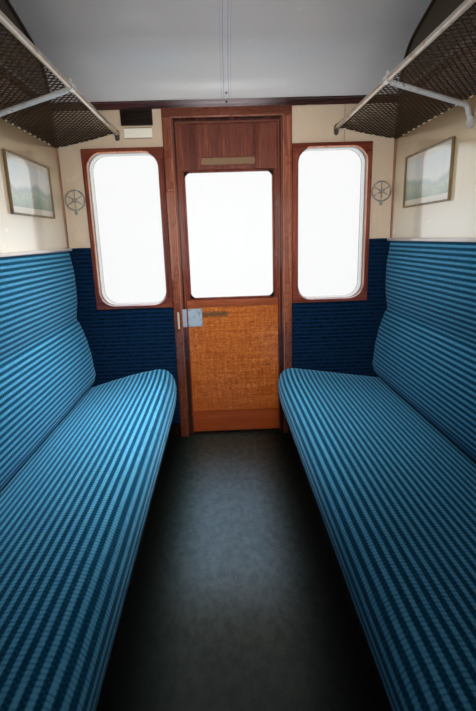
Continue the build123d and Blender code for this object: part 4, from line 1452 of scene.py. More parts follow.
@dataclass
class RackNet:
    """A luggage net: knotted cords between the rail and the partition."""

    name: str
    end: float
    cord: bpy.types.Material
    lacing: bpy.types.Material
    bar: float = 0.021
    cord_radius: float = 0.0021
    knot_radius: float = 0.0036
    knot_end: float = 0.0012
    sag: float = 0.004
    inset: float = 0.002
    lacing_pitch: float = 0.056
    lacing_radius: float = 0.0034
    edge_radius: float = 0.0026
    edge_inset: float = 0.004
    edge_lacing: float = 0.34
    hem: float = 0.985
    margin: float = 0.01
    uneven: float = 0.0012
    turn: float = 0.02
    turn_change: float = 0.006

    def span(self) -> tuple[Vector, Vector]:
        """Corners of the net's CAD solid."""
        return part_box(f"{self.name}_rack_net")

    def at(self, across: float, along: float) -> Vector:
        """Point of the net.

        Args:
            across: Share of the way from the rail, 0, to the wall, 1.
            along: Its Y.

        Returns:
            The point, on the net as it sags.
        """
        low, high = self.span()
        front, rear = (high.x, low.x) if self.end < 0 else (low.x, high.x)
        top, bottom = high.z - self.inset, low.z + self.inset
        bow = self.sag * 4 * across * (1 - across)
        return Vector((front + (rear - front) * across, along, top + (bottom - top) * across - bow))

    def build(self) -> None:
        """Make the net and the lacing along its edges."""
        low, high = self.span()
        width = math.hypot(high.x - low.x, high.z - low.z - 2 * self.inset)
        length = high.y - low.y
        step = self.bar * math.sqrt(2)
        columns, rows = round(length / step), round(width / step)
        knots: dict[tuple[int, int], Vector] = {}
        for i in range(2 * columns + 1):
            for j in range(i % 2, 2 * rows + 1, 2):
                uneven = self.uneven * math.sin(i * 12.9 + j * 78.2)
                even = self.at(j / (2 * rows), low.y + length * i / (2 * columns))
                knots[i, j] = even + Vector((0, uneven, -abs(uneven)))
        mould, total = Mould(), 0.0
        radius = self.knot_radius
        knot = [(0, self.knot_end), (radius, radius), (2 * radius, self.knot_end)]
        for (i, j), start in knots.items():
            for other in ((i + 1, j + 1), (i + 1, j - 1)):
                if other in knots:
                    total += (knots[other] - start).length
                    mould.tube([start, knots[other]], self.cord_radius, 4)
            mould.turned(start - Vector((0, 0, radius)), (0, 0, 1), knot, 4)
        net = mould.piece(f"{self.name}_net_cords", self.cord)
        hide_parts(f"{self.name}_rack_net")
        self.lace(low, high)

    def lace(self, low: Vector, high: Vector) -> None:
        """Pale lacing that ties the net to the wall and to the end walls.

        Args:
            low: Lowest corner of the net's solid.
            high: Its highest corner.
        """
        mould, edging = Mould(), Mould()
        count = int((high.y - low.y - 2 * self.margin) / self.lacing_pitch)
        for i in range(count):
            start = self.at(self.hem, low.y + self.margin + i * self.lacing_pitch)
            reach = self.turn + self.turn_change * math.sin(7.3 * i)
            turns = ((0, -0.001), (reach / 2, -0.004), (reach, -0.001))
            mould.tube([start + Vector((0, y, z)) for y, z in turns], self.lacing_radius, 5)
        first, last = low.y + self.edge_inset, high.y - self.edge_inset
        edging.tube([self.at(self.hem, first), self.at(self.hem, last)], self.edge_radius, 6)
        across = int(self.edge_lacing / self.lacing_pitch)
        for y, way in ((first, 1), (last, -1)):
            edging.tube([self.at(share, y) for share in (0.01, 0.5, self.hem)], self.edge_radius, 6)
            for i in range(across):
                start = self.at((i + 0.5) / across, y)
                turns = ((-0.006, 0, 0), (0, way * 0.002, -0.004), (0.006, 0, 0))
                mould.tube([start + Vector(turn) for turn in turns], self.lacing_radius, 5)
        mould.piece(f"{self.name}_net_lacing", self.lacing)
        edging.piece(f"{self.name}_net_edge_cord", self.cord)


@dataclass
class Nets:
    """Both luggage nets, with the finishes that they share."""

    cord: Enamel = Enamel(
        "net_cord_brown", paint(62, 45, 28), paint(34, 24, 16), rough=0.8, coat=0.0, stains=0.6
    )
    lacing: Enamel = Enamel(
        "lacing_cream", paint(224, 212, 186), paint(160, 146, 116), rough=0.8, coat=0.0
    )

    def build(self) -> None:
        """Make both nets."""
        cord, lacing = self.cord.build(), self.lacing.build()
        for name, end in ENDS.items():
            RackNet(name, end, cord, lacing).build()


@dataclass
class Windows:
    """Beads round the openings, coloured as a painted highlight, the droplights' corner plates and
    draught strips.
    """

    # The bead colours are a painted highlight, pale pink-orange like lit polished wood.
    bead: Varnish = Varnish(
        "bead_wood_painted_highlight",
        dark=paint(196, 112, 78),
        middle=paint(226, 152, 118),
        light=paint(246, 196, 172),
        coat=1.0,
        rough=0.16,
        patches=(
            # The legs beside the door keep a darker wood colour, without the painted highlight.
            Patch(paint(112, 62, 52), x=(LEAST, 0.44)),
            # Painted highlight, whitish pink, along the foot of each bead.
            Patch(paint(232, 206, 212), z=(LEAST, FLOOR + 0.9), edge=0.06, share=0.8),
        ),
    )
    # The doorway bead's lighter colour is a painted highlight line along the architrave's inner
    # edge.
    edge: Varnish = Varnish(
        "edge_wood_painted_highlight",
        dark=paint(120, 70, 54),
        middle=paint(156, 100, 80),
        light=paint(186, 132, 112),
        coat=1.0,
        rough=0.16,
    )
    bronze: Metal = Metal("corner_bronze", paint(60, 44, 34), paint(36, 26, 22), rough=0.4)
    rubber: Enamel = Enamel(
        "rubber_black", paint(26, 22, 20), paint(48, 42, 36), rough=0.7, coat=0.0, stains=0.5
    )
    bead_radius: float = 0.0048
    frame_depth: float = 0.018
    architrave_depth: float = 0.022
    edge_radius: float = 0.0042
    inner: float = 0.389
    lap: float = 0.0097
    corner_radius: float = 0.085
    door_gap: float = 0.012
    plate_lap: float = 0.006
    plate_leg: float = 0.026
    plate_thickness: float = 0.003
    lip_proud: float = 0.003
    lip_depth: float = 0.01
    lip_inset: float = 0.002
    lip_foot: float = 0.006
    lip_ease: float = 0.001

    def build(self) -> None:
        """Make the beads, corner plates and draught strips of both sides."""
        bead, edge = self.bead.build(), self.edge.build()
        bronze, rubber = self.bronze.build(), self.rubber.build()
        for name, side in SIDES.items():
            self.window_beads(name, side, bead)
            self.doorway_beads(name, side, edge)
            self.corners(name, side, bronze)
            self.draught_strip(name, side, rubber)

    def window_beads(self, name: str, side: float, material: bpy.types.Material) -> None:
        """Round beads inside the frames of a side's two quarterlights.

        Args:
            name: "far" or "near".
            side: 1 for the far side, -1 for the near one.
            material: Their finish.
        """
        glass_low, glass_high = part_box("quarterlight_glass")
        face = side * (HALF_WIDTH - self.frame_depth)
        mould = Mould()
        for way in (-1, 1):
            x_low, x_high = sorted((way * self.inner, way * (glass_high.x - self.lap)))
            low, high = (x_low, glass_low.z + self.lap), (x_high, glass_high.z - self.lap)
            outline = rounded(low, high, self.corner_radius)
            mould.tube([(x, face, z) for x, z in outline], self.bead_radius, 8, closed=True)
        mould.piece(f"{name}_window_beads", material)

    def doorway_beads(self, name: str, side: float, material: bpy.types.Material) -> None:
        """Bead up, over and down the edge of a doorway.

        Args:
            name: "far" or "near".
            side: 1 for the far side, -1 for the near one.
            material: Its finish.
        """
        leaf_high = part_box("far_door_leaf")[1]
        half, head = leaf_high.x + self.door_gap, leaf_high.z + self.door_gap
        face = side * (HALF_WIDTH - self.architrave_depth)
        arch = [(-half, face, FLOOR), (-half, face, head), (half, face, head), (half, face, FLOOR)]
        mould = Mould()
        for start, end in zip(arch, arch[1:]):
            mould.tube([start, end], self.edge_radius, 8)
        mould.piece(f"{name}_doorway_beads", material)

    def draught_strip(self, name: str, side: float, material: bpy.types.Material) -> None:
        """Rubber lip that closes the gap between a door's foot and its sill.

        Args:
            name: "far" or "near".
            side: 1 for the far side, -1 for the near one.
            material: Its finish.
        """
        low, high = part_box(f"{name}_door_leaf")
        face = inner_face(f"{name}_door_leaf")
        front = face + self.lip_proud
        y_low, y_high = sorted((side * front, side * (front + self.lip_depth)))
        bottom = (low.x + self.lip_inset, y_low, FLOOR + self.lip_foot)
        top = (high.x - self.lip_inset, y_high, low.z + self.lip_ease)
        mould = Mould()
        mould.block(bottom, top, self.lip_ease)
        mould.piece(f"{name}_door_draught_strip", material, DOORS[name], smooth=False)

    def corners(self, name: str, side: float, material: bpy.types.Material) -> None:
        """Small dark plates in the four corners of a droplight.

        Args:
            name: "far" or "near".
            side: 1 for the far side, -1 for the near one.
            material: Their finish.
        """
        low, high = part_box(f"{name}_droplight_glass")
        face = inner_face(f"{name}_droplight_frame")
        mould = Mould()
        for x_way, x in ((1, low.x), (-1, high.x)):
            for z_way, z in ((1, low.z), (-1, high.z)):
                foot_x, foot_z = x - x_way * self.plate_lap, z - z_way * self.plate_lap
                tip_x, tip_z = x + x_way * self.plate_leg, z + z_way * self.plate_leg
                corner = [(foot_x, foot_z), (tip_x, foot_z), (foot_x, tip_z)]
                faces = []
                for depth in (face - self.plate_thickness, face):
                    faces.append([mould.bm.verts.new((px, side * depth, pz)) for px, pz in corner])
                mould.bm.faces.new(faces[0])
                mould.bm.faces.new(list(reversed(faces[1])))
                mould.bridge(faces[0], faces[1])
        mould.piece(f"{name}_droplight_corners", material, DOORS[name], smooth=False)


class Studio:
    """Camera, lights, floor and white surroundings.

    The camera's place, angles in radians, focus and centre in pixels are those of the
    photograph of PICTURE pixels, fitted to its edges.
    """

    EYE = (-0.0605, -1.195, 1.5728)
    YAW, PITCH, ROLL = 0.0216, 0.2193, 0.0321
    FOCUS = 417.18
    CENTRE = (232.52, 330.45)
    PICTURE = (476, 711)
    SENSOR = 36
    DAY = (1.0, 0.985, 0.96)
    AMBIENT = 0.26
    REACH = 14.0
    PALE = (2.2, 4.6)

    def camera(self) -> None:
        """Stand the camera in front of the near door, where the photograph was taken."""
        cos_yaw, sin_yaw = math.cos(self.YAW), math.sin(self.YAW)
        cos_pitch, sin_pitch = math.cos(self.PITCH), math.sin(self.PITCH)
        right = Vector((cos_yaw, -sin_yaw, 0))
        ahead = Vector((cos_pitch * sin_yaw, cos_pitch * cos_yaw, -sin_pitch))
        up = Vector((sin_pitch * sin_yaw, sin_pitch * cos_yaw, cos_pitch))
        cos_roll, sin_roll = math.cos(self.ROLL), math.sin(self.ROLL)
        rolled_right = right * cos_roll - up * sin_roll
        rolled_up = right * sin_roll + up * cos_roll
        axes = Matrix((rolled_right, rolled_up, -ahead)).transposed().to_4x4()
        lens = bpy.data.cameras.new("view")
        lens.sensor_width = self.SENSOR
        lens.lens = lens.sensor_width * self.FOCUS / self.PICTURE[1]
        lens.shift_x = (self.PICTURE[0] / 2 - self.CENTRE[0]) / self.PICTURE[1]
        lens.shift_y = (self.CENTRE[1] - self.PICTURE[1] / 2) / self.PICTURE[1]
        lens.clip_start = 0.05
        camera = bpy.data.objects.new("view", lens)
        camera.matrix_world = Matrix.Translation(self.EYE) @ axes
        bpy.context.scene.collection.objects.link(camera)
        bpy.context.scene.camera = camera

    def lamp(
        self,
        name: str,
        place: Point,
        towards: Point,
        size: tuple[float, float],
        power: float,
        spread: float = 0.0,
    ) -> None:
        """Soft rectangular lamp that no camera or mirror sees.

        Args:
            name: Name of the lamp.
            place: Its middle.
            towards: Point that it faces.
            size: Its width and height.
            power: Its power in watts.
            spread: Angle of its beam in degrees, or 0 for all round.
        """
        light = bpy.data.lights.new(name, "AREA")
        light.shape = "RECTANGLE"
        light.size, light.size_y = size
        light.energy = power
        light.color = self.DAY
        lamp = bpy.data.objects.new(name, light)
        turn = (Vector(towards) - Vector(place)).to_track_quat("-Z", "Y")
        lamp.matrix_world = Matrix.Translation(place) @ turn.to_matrix().to_4x4()
        lamp.visible_camera = lamp.visible_glossy = False
        if spread:
            light.spread = math.radians(spread)
        bpy.context.scene.collection.objects.link(lamp)

    @staticmethod
    def seen_white(tree: bpy.types.NodeTree) -> Socket:
        """Share of rays that look at the surroundings rather than light the object.

        Args:
            tree: The node tree that asks.

        Returns:
            1 for rays from the camera, mirrors and glass, else 0.
        """
        path = tree.nodes.new("ShaderNodeLightPath")
        total = path.outputs["Is Camera Ray"]
        for name in ("Is Glossy Ray", "Is Transmission Ray"):
            node = tree.nodes.new("ShaderNodeMath")
            node.operation = "MAXIMUM"
            tree.links.new(total, node.inputs[0])
            tree.links.new(path.outputs[name], node.inputs[1])
            total = node.outputs[0]
        return total

    def world(self) -> None:
        """White surroundings that light the object at a plain level."""
        world = bpy.data.worlds.new("studio")
        world.use_nodes = True
        tree = world.node_tree
        background = tree.nodes["Background"]
        level = tree.nodes.new("ShaderNodeMapRange")
        tree.links.new(self.seen_white(tree), level.inputs["Value"])
        level.inputs["To Min"].default_value = self.AMBIENT
        level.inputs["To Max"].default_value = 1.0
        background.inputs["Color"].default_value = (1, 1, 1, 1)
        tree.links.new(level.outputs[0], background.inputs["Strength"])
        bpy.context.scene.world = world

    def floor(self) -> None:
        """Pale floor that fades into the white surroundings."""
        shader = Shader("studio_floor")
        grain = shader.noise(3, 2, 0.5)
        colour = shader.mix(grain, paint(222, 222, 220), paint(228, 228, 226))
        shader.finish(colour, 0.7)
        squares = (shader.maths("MULTIPLY", place, place) for place in (shader.x, shader.y))
        distance = shader.maths("POWER", shader.maths("ADD", *squares), 0.5)
        far = shader.step(distance, *self.PALE)
        glow = shader.add("ShaderNodeEmission")
        seen = self.seen_white(shader.tree)
        blend = shader.add("ShaderNodeMixShader")
        shader.feed(blend.inputs[0], shader.maths("MULTIPLY", far, seen))
        shader.feed(blend.inputs[1], shader.surface.outputs[0])
        shader.feed(blend.inputs[2], glow.outputs[0])
        output = shader.tree.nodes["Material Output"]
        shader.feed(output.inputs["Surface"], blend.outputs[0])
        bm = bmesh.new()
        bmesh.ops.create_circle(bm, cap_ends=True, segments=64, radius=self.REACH)
        mesh = bpy.data.meshes.new("studio_floor")
        bm.to_mesh(mesh)
        bm.free()
        mesh.materials.append(shader.material)
        plane = bpy.data.objects.new("studio_floor", mesh)
        plane.location.z = CAD_BOX[0][2]
        bpy.context.scene.collection.objects.link(plane)

    def build(self) -> None:
        """Set the view, the surroundings and the lamps."""
        self.camera()
        self.world()
        self.floor()
        self.lamp("far_daylight", (0.2, 2.3, 1.6), (-0.1, 0, 1.1), (2.4, 1.5), 12)
        self.lamp("aisle_sky", (-0.15, 0.6, 2.2), (-0.6, 0.5, 0.7), (0.5, 0.5), 5.4, 70)
        self.lamp("left_sky", (-0.3, 0.8, 2.36), (-0.45, 0.75, 0.6), (0.4, 0.7), 2.6, 75)
        self.lamp("right_sky", (0.3, 0.7, 2.36), (0.45, 0.6, 0.6), (0.4, 0.7), 1.8, 75)
        self.lamp("side_glow", (0.62, 1.22, 1.75), (-0.7, 0.3, 0.9), (0.5, 0.5), 1.2, 80)
        self.lamp("wall_light", (0, -1.1, 1.95), (0, 1.3, 1.43), (0.6, 0.4), 9.6, 75)
        for name, x in (("yard_left", -3.4), ("yard_right", 3.4)):
            self.lamp(name, (x, -2.8, 2.1), (0, -1.2, 1.2), (1.6, 1.6), 96)
        self.lamp("sky", (0, 0, 5.2), (0, 0, 2), (3.5, 3.5), 140)
        self.lamp("ceiling_wash", (0, 0.3, 1.25), (0, 0.5, 2.6), (0.5, 1.2), 5.6)
        view = bpy.context.scene.view_settings
        view.view_transform = "Standard"


class Finishes:
    """Every finish of the compartment and the nodes that carry it."""

    GOLD = paint(200, 164, 84)
    LIVERY = Enamel(
        "crimson_coach_paint",
        paint(112, 18, 26),
        paint(72, 14, 18),
        rough=0.22,
        coat=0.8,
        stains=0.35,
    )
    WALL_LINES = (FLOOR + 0.8, FLOOR + 0.72)
    WALL_CHANGE, LEAF_CHANGE, VENT_CHANGE = 1.33, 1.334, 1.335
    ARCH_FOOT = FLOOR + 1.975
    RED = dict(dark=paint(52, 22, 18), middle=paint(98, 44, 32), light=paint(142, 74, 54))
    WARM = dict(dark=paint(66, 30, 20), middle=paint(120, 64, 44), light=paint(172, 108, 82))
    DARK = dict(
        dark=paint(30, 14, 12),
        middle=paint(54, 26, 22),
        light=paint(84, 42, 34),
        coat=0.9,
        rough=0.2,
    )
    PALE = dict(
        dark=paint(96, 62, 46), middle=paint(144, 104, 82), light=paint(182, 142, 118), coat=0.9
    )
    LOCK = dict(
        colour=paint(190, 204, 218),
        tarnish=paint(126, 138, 152),
        rough=0.34,
        metallic=0.4,
        scratch=Grain.LENGTHWISE,
    )

    def __init__(self) -> None:
        """Name the sizes that the finishes follow."""
        self.door_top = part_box("far_door_leaf")[1].z
        self.frame_low, self.frame_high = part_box("quarterlight_frames")
        self.stop_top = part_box("door_stops")[1].z
        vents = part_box("wall_vents")
        self.plate_x = (LEAST, max(abs(vents[0].x), abs(vents[1].x)) - 0.004)

    def build(self) -> None:
        """Make each finish and dress its nodes, from the sides to the fittings."""
        self.sides()
        self.doors()
        self.windows()
        self.doorways()
        self.corners()
        self.partitions()
        self.ceiling()
        self.floors()
        self.outside()
        self.fittings()

    def sides(self) -> None:
        """Body sides: beige in the room with painted shade along the foot under the seats and a
        seam, lined crimson outside.
        """
        beige = Enamel(
            "beige_gloss",
            paint(208, 186, 162),
            paint(168, 142, 116),
            stains=0.35,
            patches=(
                # Painted shade: a dark band along the foot of the wall, under the seats.
                Patch(paint(30, 18, 14), z=(LEAST, FLOOR + 0.09)),
                Patch(
                    paint(104, 78, 58),
                    x=(0.6542, 0.6562),
                    z=(self.frame_high.z, MOST),
                    handed=True,
                ),
            ),
        )
        sides = TwoFaced(
            "body_side", beige, self.LIVERY, self.WALL_CHANGE, self.GOLD, self.WALL_LINES
        ).build()
        for node in ("far_side_quarters", "near_side_quarters", "cantrails", "door_sills"):
            dress(node, sides)

    def doors(self) -> None:
        """Doors: varnished in the room with a blank label over the window, crimson outside."""
        wood = Varnish("leaf_wood", **self.RED)
        leaves = TwoFaced(
            "door_leaf", wood, self.LIVERY, self.LEAF_CHANGE, self.GOLD, self.WALL_LINES
        ).build()
        red_upright = Varnish("red_upright", **self.RED).build()
        label, rim, plate = FLOOR + 1.666, 0.026, 0.0175
        patches = (
            Patch(paint(92, 50, 36), x=(LEAST, 0.154), z=(label - rim, label + rim)),
            Patch(
                paint(126, 102, 76),
                x=(LEAST, 0.15),
                z=(label - plate, label + plate),
                share=0.8,
                ragged=0.012,
            ),
            Patch(paint(146, 58, 12), z=(LEAST, FLOOR + 0.16), share=0.6),
        )
        for name in SIDES:
            rails = Varnish(
                f"{name}_rails",
                dark=paint(92, 40, 22),
                middle=paint(132, 66, 38),
                light=paint(164, 94, 60),
                grain=Grain.LENGTHWISE,
                patches=patches,
            )
            dress(f"{name}_door_leaf", leaves)
            dress(f"{name}_door_rails", rails.build(), Ease.BROAD)
            dress(f"{name}_droplight_frame", red_upright, Ease.PLAIN)
            dress(f"{name}_droplight_glass", Pane(f"{name}_droplight_pane").build())
            dress(f"{name}_door_hinges", self.LIVERY.build(), Ease.FINE)
            dress(
                f"{name}_door_lockset", Metal(f"{name}_lock_steel", **self.LOCK).build(), Ease.FINE
            )
            self.door_lining(name)

    @staticmethod
    def door_lining(name: str) -> None:
        """Door lining: flecked orange veneer below the window and red-brown above it.

        Args:
            name: "far" or "near".
        """
        upper = Varnish(
            "upper", paint(54, 24, 20), paint(98, 50, 38), paint(136, 80, 62), figure=30
        )
        lower = Varnish(
            "lower",
            paint(108, 48, 16),
            paint(170, 88, 36),
            paint(214, 138, 74),
            Grain.LENGTHWISE,
            figure=44,
        )
        shader = Shader(f"{name}_door_linings")
        figure = lower.board(shader)
        figure = shader.maths("MULTIPLY_ADD", shader.maths("SUBTRACT", figure, 0.5), 0.6, 0.5)
        fleck = shader.noise(110, 4, 0.8, (0.4, 1, 1), 0.5)
        weave = shader.noise(90, 3, 0.7, (1, 1, 0.12))
        for marks, share in ((fleck, 0.75), (weave, 0.3)):
            figure = shader.maths(
                "MULTIPLY_ADD", shader.maths("SUBTRACT", marks, 0.5), share, figure
            )
        below = shader.ramp(figure, (0.3, lower.dark), (0.5, lower.middle), (0.7, lower.light))
        foot = shader.step(shader.z, FLOOR + 0.5, FLOOR + 0.1)
        below = shader.mix(shader.maths("MULTIPLY", foot, 0.45), below, paint(150, 66, 14))
        above = upper.tinted(shader, upper.board(shader))
        colour = shader.mix(shader.step(shader.z, FLOOR + 1.2, FLOOR + 1.21), below, above)
        worn = shader.step(shader.noise(8, 5, 0.65, warp=0.4), 0.6, 0.85)
        colour = shader.mix(shader.maths("MULTIPLY", worn, 0.6), colour, upper.dark)
        # Darker olive band beside the lock, fading to the right.
        dark_band_by_lock = Patch(
            paint(70, 66, 48),
            x=(0.03, 0.2),
            z=(FLOOR + 0.774, FLOOR + 0.804),
            edge=0.02,
            share=0.8,
            ragged=0.03,
        )
        handed = shader.maths("MULTIPLY", shader.x, shader.maths("SIGN", shader.y))
        hand = shader.step(handed, 0.01, -0.01)
        colour = shader.mix(
            shader.maths("MULTIPLY", dark_band_by_lock.mask(shader), hand), colour, dark_band_by_lock.colour
        )
        shader.bump(figure, 0.0004, 0.5)
        shader.bump(shader.noise(16, 2, 0.4), 0.001, 0.35)
        rough = shader.blend(shader.noise(12, 4, 0.6), 0.22, 0.46)
        lining = shader.finish(colour, rough, Coat_Weight=0.6, Coat_Roughness=0.12)
        dress(f"{name}_door_panels", lining, Ease.LINING)

    def windows(self) -> None:
        """Quarterlights: panes, varnished frames inside with painted shade deep in the reveal, and
        outer frames whose inner rim is painted near white as daylight glare.
        """
        dress("quarterlight_glass", Pane().build())
        low, high = self.frame_low.z, self.frame_high.z
        rail, past = 0.055, 0.01
        frames = Varnish(
            "window_frames",
            **self.RED,
            turned=((low - past, low + rail), (high - rail, high + past)),
            coat=0.4,
            rough=0.34,
            # Painted shade deep inside the reveal of the frames.
            patches=(Patch(paint(44, 20, 14), y=(HALF_WIDTH - 0.012, MOST)),),
        )
        dress("quarterlight_frames", frames.build(), Ease.BROAD)
        # Painted daylight glare: the outer frames' rim round the glass near white.
        rim = Patch(paint(252, 250, 248), y=(HALF_WIDTH + 0.034, HALF_WIDTH + 0.0865))
        outer = Varnish("outer_frames", **self.RED, coat=0.8, patches=(rim,))
        dress("quarterlight_outer_frames", outer.build(), Ease.PLAIN)

    def doorways(self) -> None:
        """Architraves, sooty above, with a painted reflection and a scratch on one post, and door
        stops with painted shade in their dark band and at their foot.
        """
        shaded = Patch(paint(70, 30, 20), z=(LEAST, FLOOR + 0.7), edge=0.4, share=0.7)
        sooty = Patch(paint(74, 32, 20), z=(self.door_top + 0.008, MOST), share=0.6, ragged=0.02)
        # Painted reflection of the sky, pale on one post of each architrave.
        painted_reflection = Patch(
            paint(176, 122, 102),
            x=(-0.38, -0.345),
            z=(FLOOR + 1.0, FLOOR + 1.5),
            edge=0.03,
            share=0.5,
            handed=True,
        )
        scratch = Patch(
            paint(206, 172, 150),
            x=(-0.346, -0.318),
            z=(FLOOR + 1.512, FLOOR + 1.516),
            edge=0.002,
            share=0.6,
            ragged=0.03,
            handed=True,
        )
        architraves = Varnish(
            "architraves",
            **self.WARM,
            turned=((self.door_top, self.door_top + 0.2),),
            coat=0.9,
            rough=0.26,
            patches=(shaded, sooty, painted_reflection, scratch),
        )
        dress("door_architraves", architraves.build(), Ease.BROAD)
        # The stops' dark colour, left as a narrow band between the lighter faces, is painted shade
        # in the gap beside the door.
        stop_faces = (
            Patch(paint(112, 62, 44), x=(0.2985, MOST)),
            Patch(paint(104, 60, 46), x=(LEAST, 0.2885), z=(LEAST, self.stop_top - 0.0185)),
            # Painted shade, darker towards the foot of the stops.
            Patch(paint(40, 18, 14), z=(LEAST, FLOOR + 0.68), edge=0.1, share=0.8),
        )
        dress("door_stops", Varnish("stop_beads_painted_shade", **self.DARK, patches=stop_faces).build())

    def corners(self) -> None:
        """Cornices, with a painted highlight over the doors, corner beads and the shelves over the
        backs.
        """
        # Painted highlight: pale sheen on the cornices' room faces over the doors.
        painted_highlight = Patch(paint(216, 200, 206), x=(LEAST, 0.22), y=(1.28, MOST), edge=0.3, share=0.85)
        cornices = Varnish("cornice_wood", **self.DARK, grain=Grain.LENGTHWISE, patches=(painted_highlight,))
        dress("cornices", cornices.build(), Ease.PLAIN)
        arch = Patch(paint(46, 32, 22), z=(self.ARCH_FOOT, MOST))
        dress("corner_beads", Varnish("corner_wood", **self.PALE, patches=(arch,)).build())
        shelf = Enamel(
            "shelf_gloss", paint(216, 208, 202), paint(150, 120, 104), rough=0.14, coat=1.0
        )
        dress("back_shelves", shelf.build(), Ease.PLAIN)

    def partitions(self) -> None:
        """Partitions: cream gloss with a painted highlight low down by the seats, brown towards the
        top above the racks.
        """
        cream = Enamel(
            "cream_gloss",
            paint(238, 222, 188),
            paint(214, 186, 140),
            rough=0.2,
            coat=1.0,
            stains=0.25,
            gloss=2.3,
            matt_above=FLOOR + 1.77,
            patches=(
                # Painted highlight: near white low down, where the window reflection lies.
                Patch(paint(250, 246, 234), z=(LEAST, FLOOR + 1.36), edge=0.2, share=0.8),
                # Brown, darker towards the top over the racks.
                Patch(paint(128, 86, 44), z=(FLOOR + 1.655, MOST), edge=0.32, share=0.82),
                Patch(paint(92, 58, 24), z=(FLOOR + 1.765, MOST), edge=0.03, share=0.85),
                Patch(paint(66, 50, 22), z=(self.ARCH_FOOT, MOST), share=0.85),
            ),
        )
        dress("partitions", cream.build())

    @staticmethod
    def ceiling() -> None:
        """Ceiling sheet, darker and warmer over the middle, its centre strip and the lamp."""
        sheet = Enamel(
            "ceiling_gloss",
            paint(205, 204, 206),
            paint(184, 180, 168),
            rough=0.2,
            coat=0.8,
            stains=0.16,
            ripple=0.0009,
            patches=(Patch(paint(172, 163, 142), y=(LEAST, 0.4), edge=1.3, share=0.8),),
        )
        dress("ceiling_panel", sheet.build())
        strip = Enamel(
            "strip_gloss",
            paint(206, 207, 212),
            paint(150, 146, 142),
            rough=0.2,
            coat=0.7,
            patches=(
                Patch(paint(108, 106, 104), x=(0.0262, MOST)),
                Patch(paint(120, 118, 116), x=(0.0122, 0.0138)),
            ),
        )
        dress("ceiling_strip", strip.build(), Ease.THIN)
        opal = Enamel(
            "opal_glass",
            paint(244, 240, 228),
            paint(226, 218, 196),
            rough=0.12,
            coat=0.9,
            stains=0.15,
        )
        dress("ceiling_lamp", opal.build())

    @staticmethod
    def floors() -> None:
        """Floor covering, deck, footboards and the boxes under the seats."""
        dress("floor_lino", Lino().build())
        deck = Varnish(
            "deck_boards",
            dark=paint(64, 48, 34),
            middle=paint(96, 76, 56),
            light=paint(126, 104, 80),
            grain=Grain.ACROSS,
            coat=0.0,
            rough=0.75,
        )
        dress("floor_deck", deck.build())
        steps = Varnish(
            "step_boards",
            dark=paint(46, 40, 34),
            middle=paint(78, 68, 58),
            light=paint(104, 94, 80),
            grain=Grain.LENGTHWISE,
            coat=0.0,
            rough=0.8,
        )
        dress("footboards", steps.build(), Ease.BROAD)
        boxes = Enamel("seat_box_black", paint(22, 20, 21), paint(46, 38, 32), rough=0.5, coat=0.1)
        dress("seat_bases", boxes.build(), Ease.PLAIN)

    @staticmethod
    def outside() -> None:
        """Underframe and roof."""
        black = Enamel(
            "underframe_black",
            paint(34, 33, 33),
            paint(70, 54, 42),
            rough=0.45,
            coat=0.1,
            stains=0.5,
        ).build()
        for node in ("solebars", "cross_bearers", "footboard_brackets"):
            dress(node, black, Ease.PLAIN)
        grey = Enamel(
            "roof_lead_grey",
            paint(128, 130, 132),
            paint(84, 80, 76),
            rough=0.62,
            coat=0.0,
            stains=0.6,
        ).build()
        for node in ("roof", "roof_ventilators"):
            dress(node, grey, Ease.PLAIN)

    def fittings(self) -> None:
        """Wall vents, racks, pictures, rosettes, lock keeps and grab handles."""
        vents = Enamel(
            "vent_bronze",
            paint(28, 19, 14),
            paint(58, 40, 28),
            rough=0.35,
            coat=0.4,
            patches=(
                Patch(paint(150, 126, 102), z=(FLOOR + 1.785, FLOOR + 1.853)),
                Patch(paint(232, 226, 210), x=self.plate_x, z=(FLOOR + 1.7965, FLOOR + 1.8445)),
                Patch(self.LIVERY.colour, y=(self.VENT_CHANGE, MOST)),
            ),
        )
        dress("wall_vents", vents.build(), Ease.FINE)
        rail = Metal(
            "rail_silver",
            paint(214, 206, 194),
            paint(190, 178, 160),
            wear=0.2,
            patches=(Patch(paint(120, 112, 100), y=(HALF_WIDTH - 0.012, MOST), share=0.7),),
        )
        dress("rack_rails", rail.build())
        bracket = Metal(
            "bracket_silver", paint(226, 224, 222), paint(188, 184, 182), rough=0.26, metallic=0.6
        )
        dress("rack_brackets", bracket.build())
        frames = Varnish(
            "picture_wood",
            dark=paint(76, 58, 36),
            middle=paint(116, 92, 60),
            light=paint(156, 132, 96),
            turned=((2.0, 3.0),),
        )
        dress("picture_frames", frames.build(), Ease.PLAIN)
        dress("picture_panels", Print().build())
        nickel = Metal(
            "rosette_nickel", paint(196, 196, 190), paint(56, 54, 50), rough=0.18, metallic=0.8
        )
        dress("corner_rosettes", nickel.build(), Ease.FINE)
        patches = (
            Patch(paint(184, 194, 206), x=(0.28, 0.31), y=(LEAST, self.WALL_CHANGE)),
            Patch(paint(222, 208, 178), x=(0.322, 0.338), y=(LEAST, self.WALL_CHANGE)),
        )
        steel = Metal("fixing_steel", **self.LOCK, patches=patches)
        dress("door_fixings", steel.build(), Ease.FINE)
        brass = Metal(
            "grab_brass", paint(190, 160, 96), paint(120, 96, 54), rough=0.26, metallic=0.95
        )
        dress("grab_handles", brass.build())


